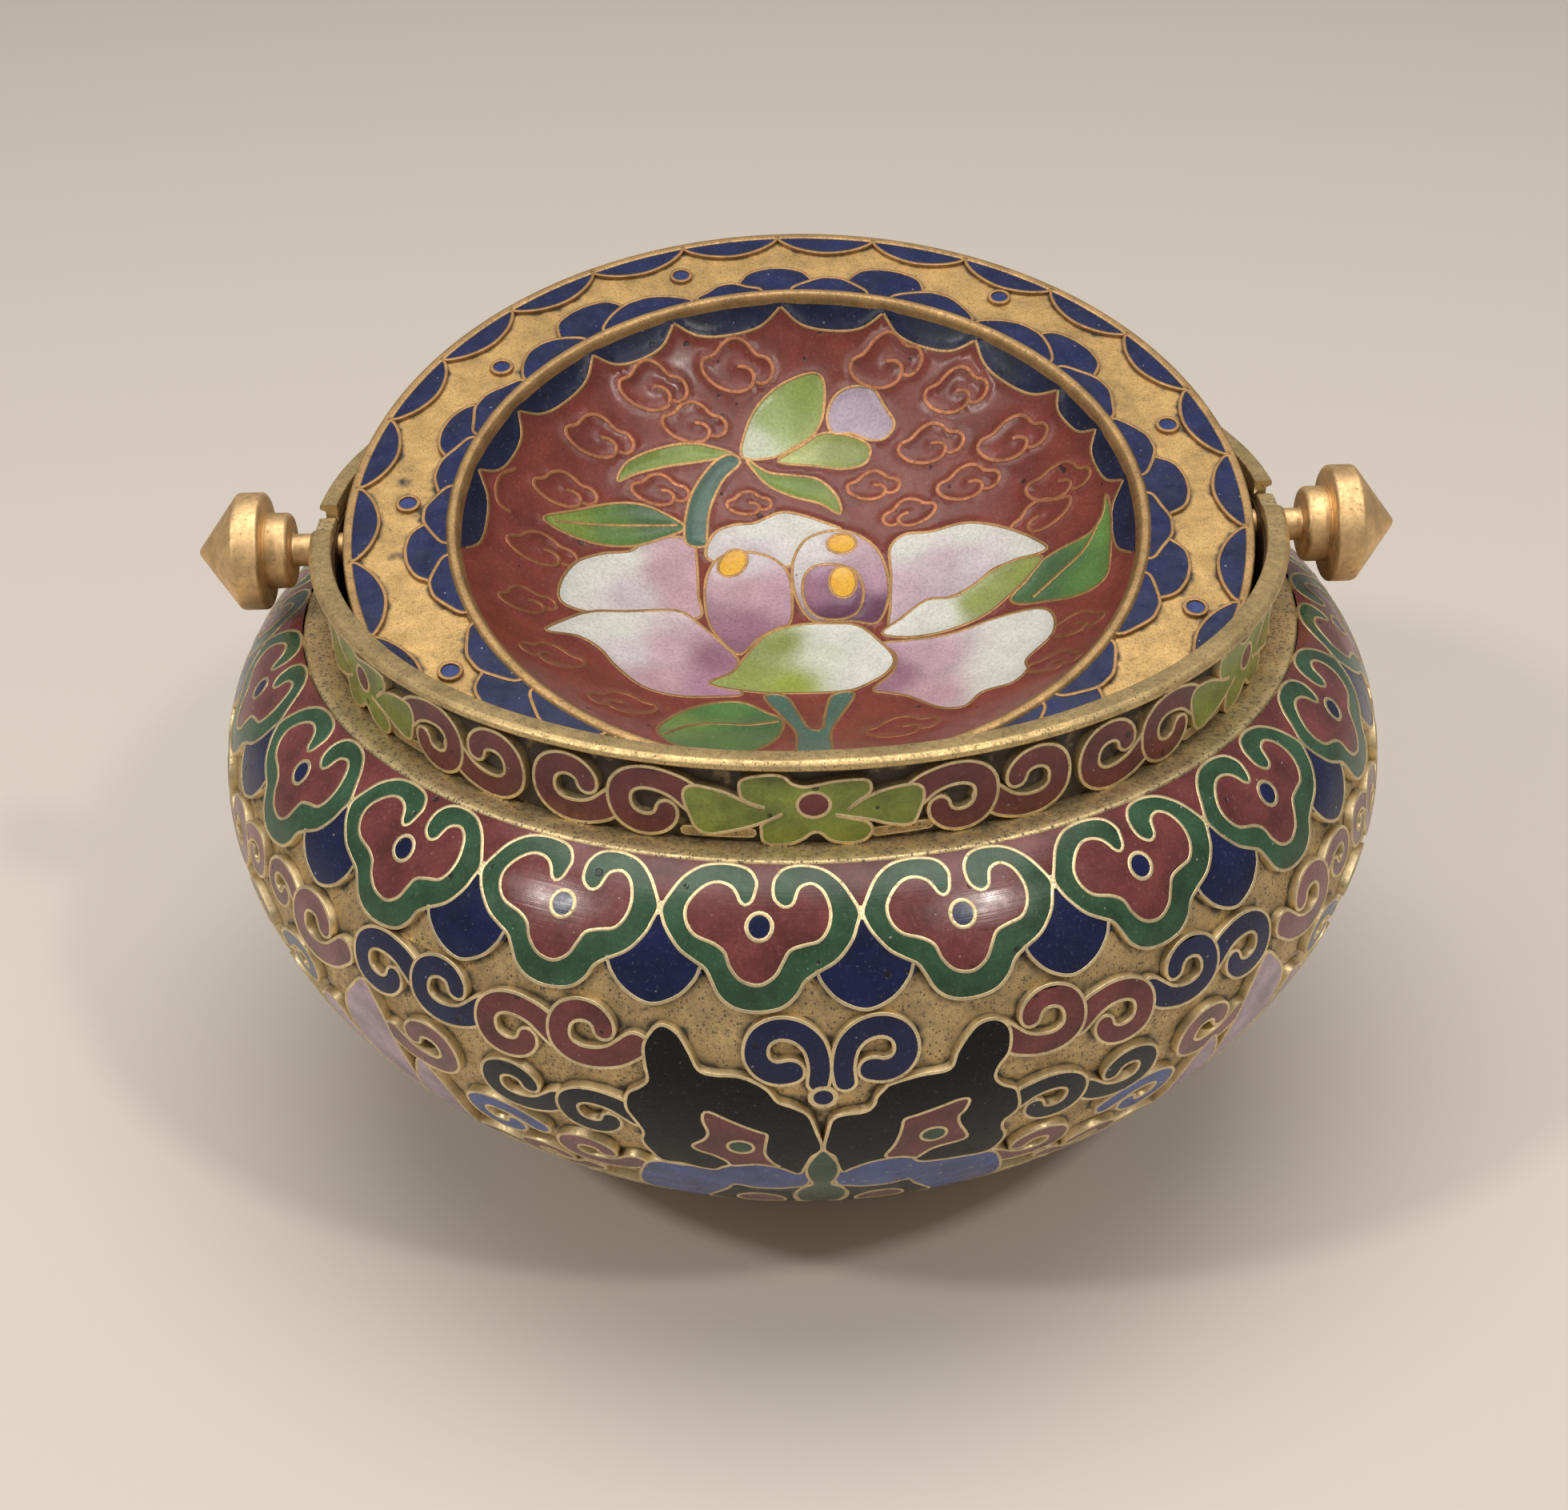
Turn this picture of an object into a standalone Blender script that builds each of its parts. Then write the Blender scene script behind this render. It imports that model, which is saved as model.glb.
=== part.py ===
"""Cloisonne enamel bowl with a tilting dish: a round-bellied bowl on a low foot, two rim half rings,
and a shallow dish that turns over in the neck on two turned pins with pointed knobs.

Metres, +Z up. The origin is the centre of the foot, on the table. +X runs along the pins, and the
dish is tilted about them with its rear edge (+Y) up.
"""
import math

import bmesh
import bpy
from mathutils import Vector

COLLECTION = "cloisonne_tilting_dish_bowl"

# bowl, measured from the table
BODY_RADIUS = 0.05445
WIDEST_HEIGHT = 0.0360
UNDER_DEPTH = 0.0406
UNDER_POWER = 1.8
FOOT_RADIUS = 0.0270
FOOT_WIDTH = 0.0022
BODY_WALL = 0.0016
SHOULDER_HEIGHT = 0.0507
SHOULDER_ROUND = 0.0053
BELLY_ROUND = 0.0075
SHOULDER_SLOPE = math.radians(22.0)

# neck, with a raised ledge ring at its foot
NECK_RADIUS = 0.0435
NECK_WALL = 0.0012
NECK_HEIGHT = 0.00575
LEDGE_WIDTH = 0.0023
LEDGE_HEIGHT = 0.0013
LEDGE_STEP = 0.0002
LEDGE_CREST = 0.6
LEDGE_CREST_DROP = 0.2
LEDGE_EDGE_DROP = 0.7

# rim half rings that lie on the neck, and the space between touching pieces
SEAT_GAP = 0.0003
RIM_INSET = 0.0010
FRONT_RIM_OVERHANG = 0.0010
FRONT_RIM_THICKNESS = 0.0009
REAR_RIM_HEIGHT = 0.0016
REAR_RIM_WALL_STEP = 0.0001
REAR_LIP_OVERHANG = 0.0005
REAR_LIP_THICKNESS = 0.0005
RIM_ROUND = 0.00018

# pins, their bores in the neck and the bridges that close the bores between the half rings
PIN_RADIUS = 0.0015
PIN_PLAY = 0.00025
PIN_DROP = 0.00175
BRIDGE_COVER = 0.0007
BRIDGE_HALF_WIDTH = 0.0015
BRIDGE_DEPTH = 0.0019

# turned knobs on the pins' ends
SHAFT_SHOWN = 0.0021
COLLAR_RADIUS = 0.00348
COLLAR_LENGTH = 0.00225
KNOB_RADIUS = 0.00540
KNOB_LENGTH = 0.00245
POINT_LENGTH = 0.0040
POINT_TIP_RADIUS = 0.00045
KNOB_ROUND = 0.0002

# dish: heights are measured from the pin axis, square to the dish
DISH_TILT = math.radians(16.9)
DISH_PLAY = 0.0009
FLANGE_HEIGHT = 0.0038
FLANGE_RECESS = 0.0008
FLANGE_THICKNESS = 0.0012
EDGE_WIDTH = 0.0010
SKIRT_DEPTH = 0.0029
SKIRT_WALL = 0.0010
HOLLOW_RADIUS = 0.0308
HOLLOW_DEPTH = 0.0110
HOLLOW_FLOOR = 0.0170
HOLLOW_RIM_DROP = 0.0057
HOLLOW_RIM_RUN = 0.0050
RING_WIDTH = 0.0015
RING_PROUD = 0.00025
RING_SLOPE = 0.2
RING_FOOT_DROP = 0.0007
DISH_WALL = 0.0012
BOSS_RADIUS = 0.0026
BOSS_LENGTH = 0.0022

# raised half-round enamel cells along the flange's edge
SCALLOPS = 26
SCALLOP_DEPTH = 0.0031
SCALLOP_CUSP_INSET = 0.0009
SCALLOP_TURN = math.radians(-1.1)
SCALLOP_SPREAD = 0.98

# facets
TURN_STEPS = 56
KNOB_STEPS = 20
BELLY_POINTS = 5
UNDER_POINTS = 7
INNER_BELLY_POINTS = 4
INNER_UNDER_POINTS = 6
HOLLOW_POINTS = 7
SCALLOP_POINTS = 6
BORE_STEPS = 16
MERGE = 0.00001
SHARP_ANGLE = math.radians(35.0)

# finishes: colour, roughness and metallic
BOWL_ENAMEL = ((0.20, 0.05, 0.055), 0.35, 0.0)
DISH_ENAMEL = ((0.24, 0.05, 0.035), 0.30, 0.0)
DULL_BRASS = ((0.50, 0.36, 0.18), 0.45, 1.0)
TURNED_BRASS = ((0.55, 0.38, 0.18), 0.42, 1.0)

# places worked out from the sizes above
NECK_BASE = SHOULDER_HEIGHT + LEDGE_HEIGHT
NECK_TOP = NECK_BASE + NECK_HEIGHT
NECK_BORE = NECK_RADIUS - NECK_WALL
PIN_HEIGHT = NECK_TOP - PIN_DROP
RIM_SEAT = NECK_TOP + SEAT_GAP
FRONT_RIM_RADIUS = NECK_RADIUS + FRONT_RIM_OVERHANG
REAR_LIP_RADIUS = NECK_RADIUS + REAR_RIM_WALL_STEP + REAR_LIP_OVERHANG
RIM_BORE = NECK_RADIUS - RIM_INSET
RIM_END = BRIDGE_HALF_WIDTH + SEAT_GAP
DISH_RADIUS = NECK_BORE - DISH_PLAY
BORE_RADIUS = PIN_RADIUS + PIN_PLAY
SHAFT_END = FRONT_RIM_RADIUS + SHAFT_SHOWN
SHAFT_START = DISH_RADIUS - SKIRT_WALL - BOSS_LENGTH
CUTTER_REACH = 2.0 * BODY_RADIUS


def clear_scene():
    for old in list(bpy.data.objects):
        bpy.data.objects.remove(old, do_unlink=True)


def new_collection(name):
    group = bpy.data.collections.new(name)
    bpy.context.scene.collection.children.link(group)
    return group


def material(name, finish):
    color, roughness, metallic = finish
    paint = bpy.data.materials.new(name)
    paint.use_nodes = True
    shader = paint.node_tree.nodes["Principled BSDF"]
    shader.inputs["Base Color"].default_value = (*color, 1.0)
    shader.inputs["Roughness"].default_value = roughness
    shader.inputs["Metallic"].default_value = metallic
    return paint


def bezier(a, b, c, d, count):
    """count points along a cubic curve, from just after a up to d"""
    points = []
    for step in range(1, count + 1):
        t = step / count
        weights = ((1 - t) ** 3, 3 * t * (1 - t) ** 2, 3 * t * t * (1 - t), t ** 3)
        points.append(tuple(sum(w * p[i] for w, p in zip(weights, (a, b, c, d))) for i in (0, 1)))
    return points


def under_height(radius, inset):
    """height of the bowl's lower half at a radius"""
    share = radius / (BODY_RADIUS - inset)
    return WIDEST_HEIGHT - (UNDER_DEPTH - inset) * (1 - share ** UNDER_POWER) ** (1 / UNDER_POWER)


def under_curve(start_radius, inset, count):
    """points of the lower half from its widest place down to a radius, evenly turned"""
    end = math.asin(min(1.0, start_radius / (BODY_RADIUS - inset)))
    points = []
    for step in range(1, count + 1):
        turn = math.pi / 2 + (end - math.pi / 2) * step / count
        radius = (BODY_RADIUS - inset) * math.sin(turn)
        points.append((radius, under_height(radius, inset)))
    return points


def belly_curve(start, inset, count):
    """points of the shoulder and belly, from the ledge ring down to the widest place"""
    leave = (start[0] + SHOULDER_ROUND * math.cos(SHOULDER_SLOPE),
             start[1] - SHOULDER_ROUND * math.sin(SHOULDER_SLOPE))
    arrive = (BODY_RADIUS - inset, WIDEST_HEIGHT + BELLY_ROUND)
    return bezier(start, leave, arrive, (BODY_RADIUS - inset, WIDEST_HEIGHT), count)


def turned(name, profile, steps, group, closed):
    """a solid of revolution about Z from a profile of (radius, height) in the XZ plane"""
    mesh = bpy.data.meshes.new(name)
    edges = [(i, i + 1) for i in range(len(profile) - 1)]
    if closed:
        edges.append((len(profile) - 1, 0))
    mesh.from_pydata([(radius, 0.0, height) for radius, height in profile], edges, [])
    item = bpy.data.objects.new(name, mesh)
    group.objects.link(item)
    screw = item.modifiers.new("turn", "SCREW")
    screw.axis = "Z"
    screw.angle = math.tau
    screw.steps = steps
    screw.render_steps = steps
    screw.use_merge_vertices = True
    screw.merge_threshold = MERGE
    return item


def applied(item):
    """replace the object's mesh by its evaluated mesh and drop the modifiers"""
    graph = bpy.context.evaluated_depsgraph_get()
    mesh = bpy.data.meshes.new_from_object(item.evaluated_get(graph))
    item.modifiers.clear()
    item.data = mesh
    return item


def boolean(item, other, operation):
    tool = item.modifiers.new(other.name, "BOOLEAN")
    tool.operation = operation
    tool.object = other


def hide_cutter(item):
    item.hide_render = True
    item.display_type = "WIRE"
    return item


def box(name, low, high, group):
    mesh = bpy.data.meshes.new(name)
    form = bmesh.new()
    bmesh.ops.create_cube(form, size=1.0)
    low, high = Vector(low), Vector(high)
    size, middle = high - low, (high + low) / 2
    for vertex in form.verts:
        vertex.co = Vector(a * b for a, b in zip(vertex.co, size)) + middle
    form.to_mesh(mesh)
    form.free()
    item = bpy.data.objects.new(name, mesh)
    group.objects.link(item)
    return item


def cross_cylinder(name, radius, start, end, height, group):
    """a cylinder along X from start to end at a height"""
    mesh = bpy.data.meshes.new(name)
    form = bmesh.new()
    bmesh.ops.create_cone(form, cap_ends=True, segments=BORE_STEPS, radius1=radius, radius2=radius,
                          depth=end - start)
    form.to_mesh(mesh)
    form.free()
    item = bpy.data.objects.new(name, mesh)
    item.rotation_euler = (0.0, math.pi / 2, 0.0)
    item.location = ((start + end) / 2, 0.0, height)
    group.objects.link(item)
    return item


def finish(item, paint):
    """apply what was built, shade it and give it its material"""
    applied(item)
    item.data.materials.clear()
    item.data.materials.append(paint)
    item.data.shade_smooth()
    item.data.set_sharp_from_angle(angle=SHARP_ANGLE)
    return item


def bowl_profile():
    """closed by the axis: inside floor, inside wall up, neck top, outside wall down, foot, underside"""
    neck_inner_foot = (NECK_BORE, SHOULDER_HEIGHT - BODY_WALL / 2)
    floor_radius = FOOT_RADIUS - FOOT_WIDTH / 2
    floor_height = under_height(floor_radius, BODY_WALL)
    inner = [(0.0, floor_height)]
    inner += reversed(under_curve(floor_radius, BODY_WALL, INNER_UNDER_POINTS))
    inner.append((BODY_RADIUS - BODY_WALL, WIDEST_HEIGHT))
    inner += reversed(belly_curve(neck_inner_foot, BODY_WALL, INNER_BELLY_POINTS)[:-1])
    inner += [neck_inner_foot, (NECK_BORE, NECK_TOP)]
    ledge = NECK_RADIUS + LEDGE_WIDTH
    shoulder = (ledge + LEDGE_STEP, SHOULDER_HEIGHT)
    outer = [
        (NECK_RADIUS, NECK_TOP),
        (NECK_RADIUS, NECK_BASE),
        (NECK_RADIUS + LEDGE_WIDTH * LEDGE_CREST, NECK_BASE - LEDGE_HEIGHT * LEDGE_CREST_DROP),
        (ledge - LEDGE_STEP, NECK_BASE - LEDGE_HEIGHT * LEDGE_EDGE_DROP),
        (ledge, SHOULDER_HEIGHT + LEDGE_STEP),
        shoulder,
    ]
    outer += belly_curve(shoulder, 0.0, BELLY_POINTS)
    outer += under_curve(FOOT_RADIUS, 0.0, UNDER_POINTS)
    foot_height = under_height(FOOT_RADIUS, 0.0)
    foot = [
        (FOOT_RADIUS, 0.0),
        (FOOT_RADIUS - FOOT_WIDTH, 0.0),
        (FOOT_RADIUS - FOOT_WIDTH, foot_height),
        (0.0, foot_height),
    ]
    return inner + outer + foot


def make_bowl(parts, cutters, paint):
    bowl = turned("bowl_body", bowl_profile(), TURN_STEPS, parts, closed=False)
    bridge_top = PIN_HEIGHT + BORE_RADIUS + BRIDGE_COVER
    for side, label in ((-1, "left"), (1, "right")):
        ends = sorted((side * (NECK_BORE + SEAT_GAP), side * (NECK_BORE + BRIDGE_DEPTH)))
        low = (ends[0], -BRIDGE_HALF_WIDTH, NECK_BASE + LEDGE_HEIGHT)
        high = (ends[1], BRIDGE_HALF_WIDTH, bridge_top)
        boolean(bowl, hide_cutter(box("bridge_" + label, low, high, cutters)), "UNION")
    bores = cross_cylinder("pin_bores", BORE_RADIUS, -CUTTER_REACH, CUTTER_REACH, PIN_HEIGHT, cutters)
    boolean(bowl, hide_cutter(bores), "DIFFERENCE")
    return finish(bowl, paint)


def make_front_rim(parts, cutters, paint):
    top = RIM_SEAT + FRONT_RIM_THICKNESS
    profile = [
        (RIM_BORE + RIM_ROUND, top),
        (FRONT_RIM_RADIUS - 2 * RIM_ROUND, top),
        (FRONT_RIM_RADIUS, top - 2 * RIM_ROUND),
        (FRONT_RIM_RADIUS, RIM_SEAT),
        (RIM_BORE, RIM_SEAT),
        (RIM_BORE, top - RIM_ROUND),
    ]
    rim = turned("rim_front", profile, TURN_STEPS, parts, closed=True)
    low = (-CUTTER_REACH, -RIM_END, 0.0)
    high = (CUTTER_REACH, CUTTER_REACH, CUTTER_REACH)
    boolean(rim, hide_cutter(box("rear_half", low, high, cutters)), "DIFFERENCE")
    return finish(rim, paint)


def make_rear_rim(parts, cutters, paint):
    top = RIM_SEAT + REAR_RIM_HEIGHT
    wall = NECK_RADIUS + REAR_RIM_WALL_STEP
    profile = [
        (RIM_BORE + RIM_ROUND, top),
        (REAR_LIP_RADIUS - RIM_ROUND, top),
        (REAR_LIP_RADIUS, top - RIM_ROUND),
        (REAR_LIP_RADIUS, top - REAR_LIP_THICKNESS),
        (wall, top - REAR_LIP_THICKNESS - RIM_ROUND),
        (wall, RIM_SEAT),
        (RIM_BORE, RIM_SEAT),
        (RIM_BORE, top - RIM_ROUND),
    ]
    rim = turned("rim_rear", profile, TURN_STEPS, parts, closed=True)
    low = (-CUTTER_REACH, -CUTTER_REACH, 0.0)
    high = (CUTTER_REACH, RIM_END, CUTTER_REACH)
    boolean(rim, hide_cutter(box("front_half", low, high, cutters)), "DIFFERENCE")
    return finish(rim, paint)


def hollow_curve(drop, shrink, count):
    """the dish's hollow from its rim down to the centre; drop and shrink give its underside"""
    rim = (HOLLOW_RADIUS + shrink, FLANGE_HEIGHT - RING_FOOT_DROP - drop / 2)
    bottom = FLANGE_HEIGHT - RING_FOOT_DROP - HOLLOW_DEPTH - drop
    steep = (rim[0] - HOLLOW_RIM_RUN, rim[1] - HOLLOW_RIM_DROP)
    return [rim] + bezier(rim, steep, (HOLLOW_FLOOR, bottom), (0.0, bottom), count)


def dish_profile():
    """closed by the axis: hollow up, raised ring, flange, edge, skirt down, and the underside back in"""
    ground = FLANGE_HEIGHT - FLANGE_RECESS
    ring_outer = HOLLOW_RADIUS + RING_WIDTH
    skirt_inner = DISH_RADIUS - SKIRT_WALL
    under_flange = ground - FLANGE_THICKNESS
    top = list(reversed(hollow_curve(0.0, 0.0, HOLLOW_POINTS)))
    top += [
        (HOLLOW_RADIUS + RING_WIDTH * RING_SLOPE, FLANGE_HEIGHT),
        (HOLLOW_RADIUS + RING_WIDTH / 2, FLANGE_HEIGHT + RING_PROUD),
        (HOLLOW_RADIUS + RING_WIDTH * (1 - RING_SLOPE), FLANGE_HEIGHT),
        (ring_outer, ground),
        (DISH_RADIUS - EDGE_WIDTH, ground),
        (DISH_RADIUS - EDGE_WIDTH, FLANGE_HEIGHT),
        (DISH_RADIUS - RIM_ROUND, FLANGE_HEIGHT),
        (DISH_RADIUS, FLANGE_HEIGHT - RIM_ROUND),
        (DISH_RADIUS, -SKIRT_DEPTH),
        (skirt_inner, -SKIRT_DEPTH),
        (skirt_inner, under_flange),
    ]
    return top + hollow_curve(DISH_WALL, DISH_WALL, HOLLOW_POINTS)


def scallop_cells(name, group):
    """the half-round cells as one mesh of short prisms, joined to the flange later"""
    pitch = math.tau / SCALLOPS
    cusp = DISH_RADIUS - SCALLOP_CUSP_INSET
    lobe = DISH_RADIUS - SCALLOP_DEPTH
    half_chord = cusp * math.sin(pitch / 2)
    rise = cusp * math.cos(pitch / 2) - lobe
    round_radius = (half_chord ** 2 + rise ** 2) / (2 * rise)
    centre = lobe + round_radius
    spread = math.asin(half_chord / round_radius)
    low = FLANGE_HEIGHT - FLANGE_RECESS - FLANGE_THICKNESS / 2
    mesh = bpy.data.meshes.new(name)
    form = bmesh.new()
    for index in range(SCALLOPS):
        middle = math.pi / 2 + SCALLOP_TURN + pitch * (index + 0.5)
        outline = []
        for step in range(SCALLOP_POINTS + 1):
            turn = spread * SCALLOP_SPREAD * (2 * step / SCALLOP_POINTS - 1)
            outline.append((centre - round_radius * math.cos(turn), round_radius * math.sin(turn)))
        back = DISH_RADIUS - EDGE_WIDTH / 2
        reach = outline[-1][1]
        outline += [(back, reach), (back, -reach)]
        corners = []
        for along, across in outline:
            x = along * math.cos(middle) - across * math.sin(middle)
            y = along * math.sin(middle) + across * math.cos(middle)
            corners.append(form.verts.new((x, y, low)))
        face = form.faces.new(corners)
        lifted = bmesh.ops.extrude_face_region(form, geom=[face])
        tops = [v for v in lifted["geom"] if isinstance(v, bmesh.types.BMVert)]
        bmesh.ops.translate(form, verts=tops, vec=(0.0, 0.0, FLANGE_HEIGHT - RIM_ROUND / 2 - low))
    bmesh.ops.recalc_face_normals(form, faces=form.faces)
    form.to_mesh(mesh)
    form.free()
    item = bpy.data.objects.new(name, mesh)
    group.objects.link(item)
    return item


def make_dish(parts, cutters, pivot, paint):
    dish = turned("tilting_dish", dish_profile(), TURN_STEPS, parts, closed=False)
    boolean(dish, hide_cutter(scallop_cells("scallop_cells", cutters)), "UNION")
    skirt_middle = DISH_RADIUS - SKIRT_WALL / 2
    seat = PIN_RADIUS + SEAT_GAP
    for side, label in ((-1, "left"), (1, "right")):
        ends = sorted((side * SHAFT_START, side * skirt_middle))
        boss = cross_cylinder("boss_" + label, BOSS_RADIUS, ends[0], ends[1], 0.0, cutters)
        boolean(dish, hide_cutter(boss), "UNION")
        ends = sorted((side * (SHAFT_START - SEAT_GAP), side * CUTTER_REACH))
        bore = cross_cylinder("boss_bore_" + label, seat, ends[0], ends[1], 0.0, cutters)
        boolean(dish, hide_cutter(bore), "DIFFERENCE")
    finish(dish, paint)
    dish.parent = pivot
    return dish


def make_knob(name, side, parts, pivot, paint):
    """pin, collar, knob and point turned as one piece, along X on the given side"""
    collar_end = SHAFT_END + COLLAR_LENGTH
    knob_end = collar_end + KNOB_LENGTH
    tip = knob_end + POINT_LENGTH
    profile = [
        (0.0, tip),
        (POINT_TIP_RADIUS, tip - POINT_TIP_RADIUS / 2),
        (KNOB_RADIUS, knob_end),
        (KNOB_RADIUS, collar_end + KNOB_ROUND),
        (KNOB_RADIUS - KNOB_ROUND, collar_end),
        (COLLAR_RADIUS, collar_end),
        (COLLAR_RADIUS, SHAFT_END + KNOB_ROUND),
        (COLLAR_RADIUS - KNOB_ROUND, SHAFT_END),
        (PIN_RADIUS, SHAFT_END),
        (PIN_RADIUS, SHAFT_START),
        (0.0, SHAFT_START),
    ]
    knob = turned(name, profile, KNOB_STEPS, parts, closed=False)
    finish(knob, paint)
    knob.rotation_euler = (0.0, side * math.pi / 2, 0.0)
    knob.parent = pivot
    return knob


def build():
    clear_scene()
    parts = new_collection(COLLECTION)
    cutters = new_collection("cutters")
    enamel = material("bowl_enamel", BOWL_ENAMEL)
    brass_front = material("rim_brass", DULL_BRASS)
    brass_rear = material("rear_rim_brass", DULL_BRASS)
    dish_enamel = material("dish_enamel", DISH_ENAMEL)
    brass_left = material("left_knob_brass", TURNED_BRASS)
    brass_right = material("right_knob_brass", TURNED_BRASS)

    pivot = bpy.data.objects.new("dish_pivot", None)
    pivot.location = (0.0, 0.0, PIN_HEIGHT)
    pivot.rotation_euler = (DISH_TILT, 0.0, 0.0)
    parts.objects.link(pivot)

    make_bowl(parts, cutters, enamel)
    make_front_rim(parts, cutters, brass_front)
    make_rear_rim(parts, cutters, brass_rear)
    make_dish(parts, cutters, pivot, dish_enamel)
    make_knob("pin_knob_left", -1, parts, pivot, brass_left)
    make_knob("pin_knob_right", 1, parts, pivot, brass_right)


build()
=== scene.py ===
"""Cloisonne enamel bowl with a tilting dish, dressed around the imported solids.

Lengths in this file are millimetres until they reach a mesh. Ornament is drawn as outlines in a flat
plane (millimetres along the turn, millimetres along the profile), cut into triangles there, and laid
on the turned surface. Gilt wires follow the same outlines. The bowl's ground lies lower than its
cells. Azimuth is measured from the front (-Y), and positive towards the right (+X).
"""
import math

import bpy
import numpy as np
from mathutils import Matrix, Vector
from mathutils.geometry import delaunay_2d_cdt
from mathutils.kdtree import KDTree


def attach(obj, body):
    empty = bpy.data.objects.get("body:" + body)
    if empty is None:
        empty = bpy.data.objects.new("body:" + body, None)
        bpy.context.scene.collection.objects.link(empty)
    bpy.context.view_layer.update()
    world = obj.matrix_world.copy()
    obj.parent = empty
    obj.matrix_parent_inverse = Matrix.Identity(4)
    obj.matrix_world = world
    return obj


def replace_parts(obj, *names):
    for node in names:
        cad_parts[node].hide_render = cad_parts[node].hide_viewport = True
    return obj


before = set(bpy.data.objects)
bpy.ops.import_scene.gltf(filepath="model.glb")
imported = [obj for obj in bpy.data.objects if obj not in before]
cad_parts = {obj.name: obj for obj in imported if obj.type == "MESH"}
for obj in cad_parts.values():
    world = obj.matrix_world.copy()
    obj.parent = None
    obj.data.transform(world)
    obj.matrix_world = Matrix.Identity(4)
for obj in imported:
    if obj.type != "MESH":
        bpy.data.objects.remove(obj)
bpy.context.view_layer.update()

MM = 0.001

# main sizes, as in the solids
PIN_HEIGHT = 56.0
TILT = math.radians(16.9)
BODY_RADIUS = 54.45
WIDEST = 36.0
UNDER_DEPTH = 40.6
UNDER_POWER = 1.8
SHOULDER_RADIUS = 46.0
SHOULDER = 50.7
SHOULDER_SLOPE = math.radians(22.0)
FOOT_RADIUS = 27.0
WALL = 1.6
FLOOR_TOP = 3.8
AXIS = 0.01
NECK_RADIUS = 43.5
NECK_TOP = 57.75
NECK_BORE = 42.3
DISH_RADIUS = 41.4
FLANGE = 3.8
HOLLOW_RADIUS = 30.8
HOLLOW_FLOOR = -7.9
RIM_RADIUS = 42.5

# ornament
ENAMEL_INSET = 0.05
GROUND_DEPTH = 0.75
WIRE_WIDTH = 0.31
WIRE_RISE = -0.01
DEEP_WIRE = GROUND_DEPTH + 0.05
SHALLOW_WIRE = 0.2
STEP = 0.34
CELL_GRID = 0.8


def bezier(a, b, c, d, count):
    t = np.linspace(0.0, 1.0, count)[:, None]
    a, b, c, d = (np.array(p, float) for p in (a, b, c, d))
    return (1 - t) ** 3 * a + 3 * t * (1 - t) ** 2 * b + 3 * t * t * (1 - t) * c + t ** 3 * d


def under_height(radius):
    return WIDEST - UNDER_DEPTH * (1 - (radius / BODY_RADIUS) ** UNDER_POWER) ** (1 / UNDER_POWER)


def shoulder_curve(start, reach, radius, rise, count):
    """from a start, out along the shoulder's slope, to straight down at the widest place"""
    leave = (start[0] + reach * math.cos(SHOULDER_SLOPE), start[1] - reach * math.sin(SHOULDER_SLOPE))
    return bezier(start, leave, (radius, WIDEST + rise), (radius, WIDEST), count)


def body_profile():
    """radius and height of the belly's outside, from the ledge down to the foot"""
    belly = shoulder_curve((SHOULDER_RADIUS, SHOULDER), 5.3, BODY_RADIUS, 7.5, 160)
    turn = np.linspace(math.pi / 2, math.asin(FOOT_RADIUS / BODY_RADIUS), 260)[1:]
    under = BODY_RADIUS * np.sin(turn)
    return np.vstack([belly, np.column_stack([under, under_height(under)])])


class Turned:
    """a surface turned about the bowl's axis. Its plane is (mm along the turn, mm down the profile)."""

    def __init__(self, profile, down, degree):
        self.down, self.degree = down, degree
        self.radius, self.height = profile[:, 0], profile[:, 1]
        along = np.gradient(profile, down, axis=0)
        along /= np.linalg.norm(along, axis=1)[:, None]
        self.out, self.up = -along[:, 1], along[:, 0]

    def flat(self, points):
        """degrees and mm down to the plane"""
        return np.array(points, float) * (self.degree, 1.0)

    def __call__(self, plane, lift=0.0):
        turn = np.radians(plane[:, 0] / self.degree)
        down = plane[:, 1]
        out = np.interp(down, self.down, self.out)
        up = np.interp(down, self.down, self.up)
        size = np.hypot(out, up)
        out, up = out / size, up / size
        radius = np.interp(down, self.down, self.radius) + lift * out
        height = np.interp(down, self.down, self.height) + lift * up
        x, y = np.sin(turn), -np.cos(turn)
        points = np.column_stack([radius * x, radius * y, height])
        return points, np.column_stack([out * x, out * y, up])


class Dished:
    """the dish's upper side. Its plane is (x, y) across the dish, with y towards the rear."""

    def __init__(self, profile):
        self.radius, self.height = profile[:, 0], profile[:, 1]
        self.slope = np.gradient(self.height, self.radius)

    def __call__(self, plane, lift=0.0):
        radius = np.hypot(plane[:, 0], plane[:, 1])
        slope = np.interp(radius, self.radius, self.slope)
        safe = np.maximum(radius, 1e-6)
        lean = -slope / safe
        normals = unit(np.column_stack([lean * plane[:, 0], lean * plane[:, 1], np.ones(len(plane))]))
        height = np.interp(radius, self.radius, self.height)
        points = np.column_stack([plane, height]) + np.reshape(lift, (-1, 1)) * normals
        return tilted(points), tilted(normals, 0.0)


def tilted(points, height=PIN_HEIGHT):
    """from the dish's own frame to the bowl's"""
    x, y, z = points.T
    c, s = math.cos(TILT), math.sin(TILT)
    return np.column_stack([x, y * c - z * s, y * s + z * c + height])


def polar(azimuth, radius):
    """a place on the dish, by degrees from the rear towards +X and by radius"""
    turn = np.radians(azimuth)
    return np.column_stack([radius * np.sin(turn), radius * np.cos(turn)])


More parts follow.
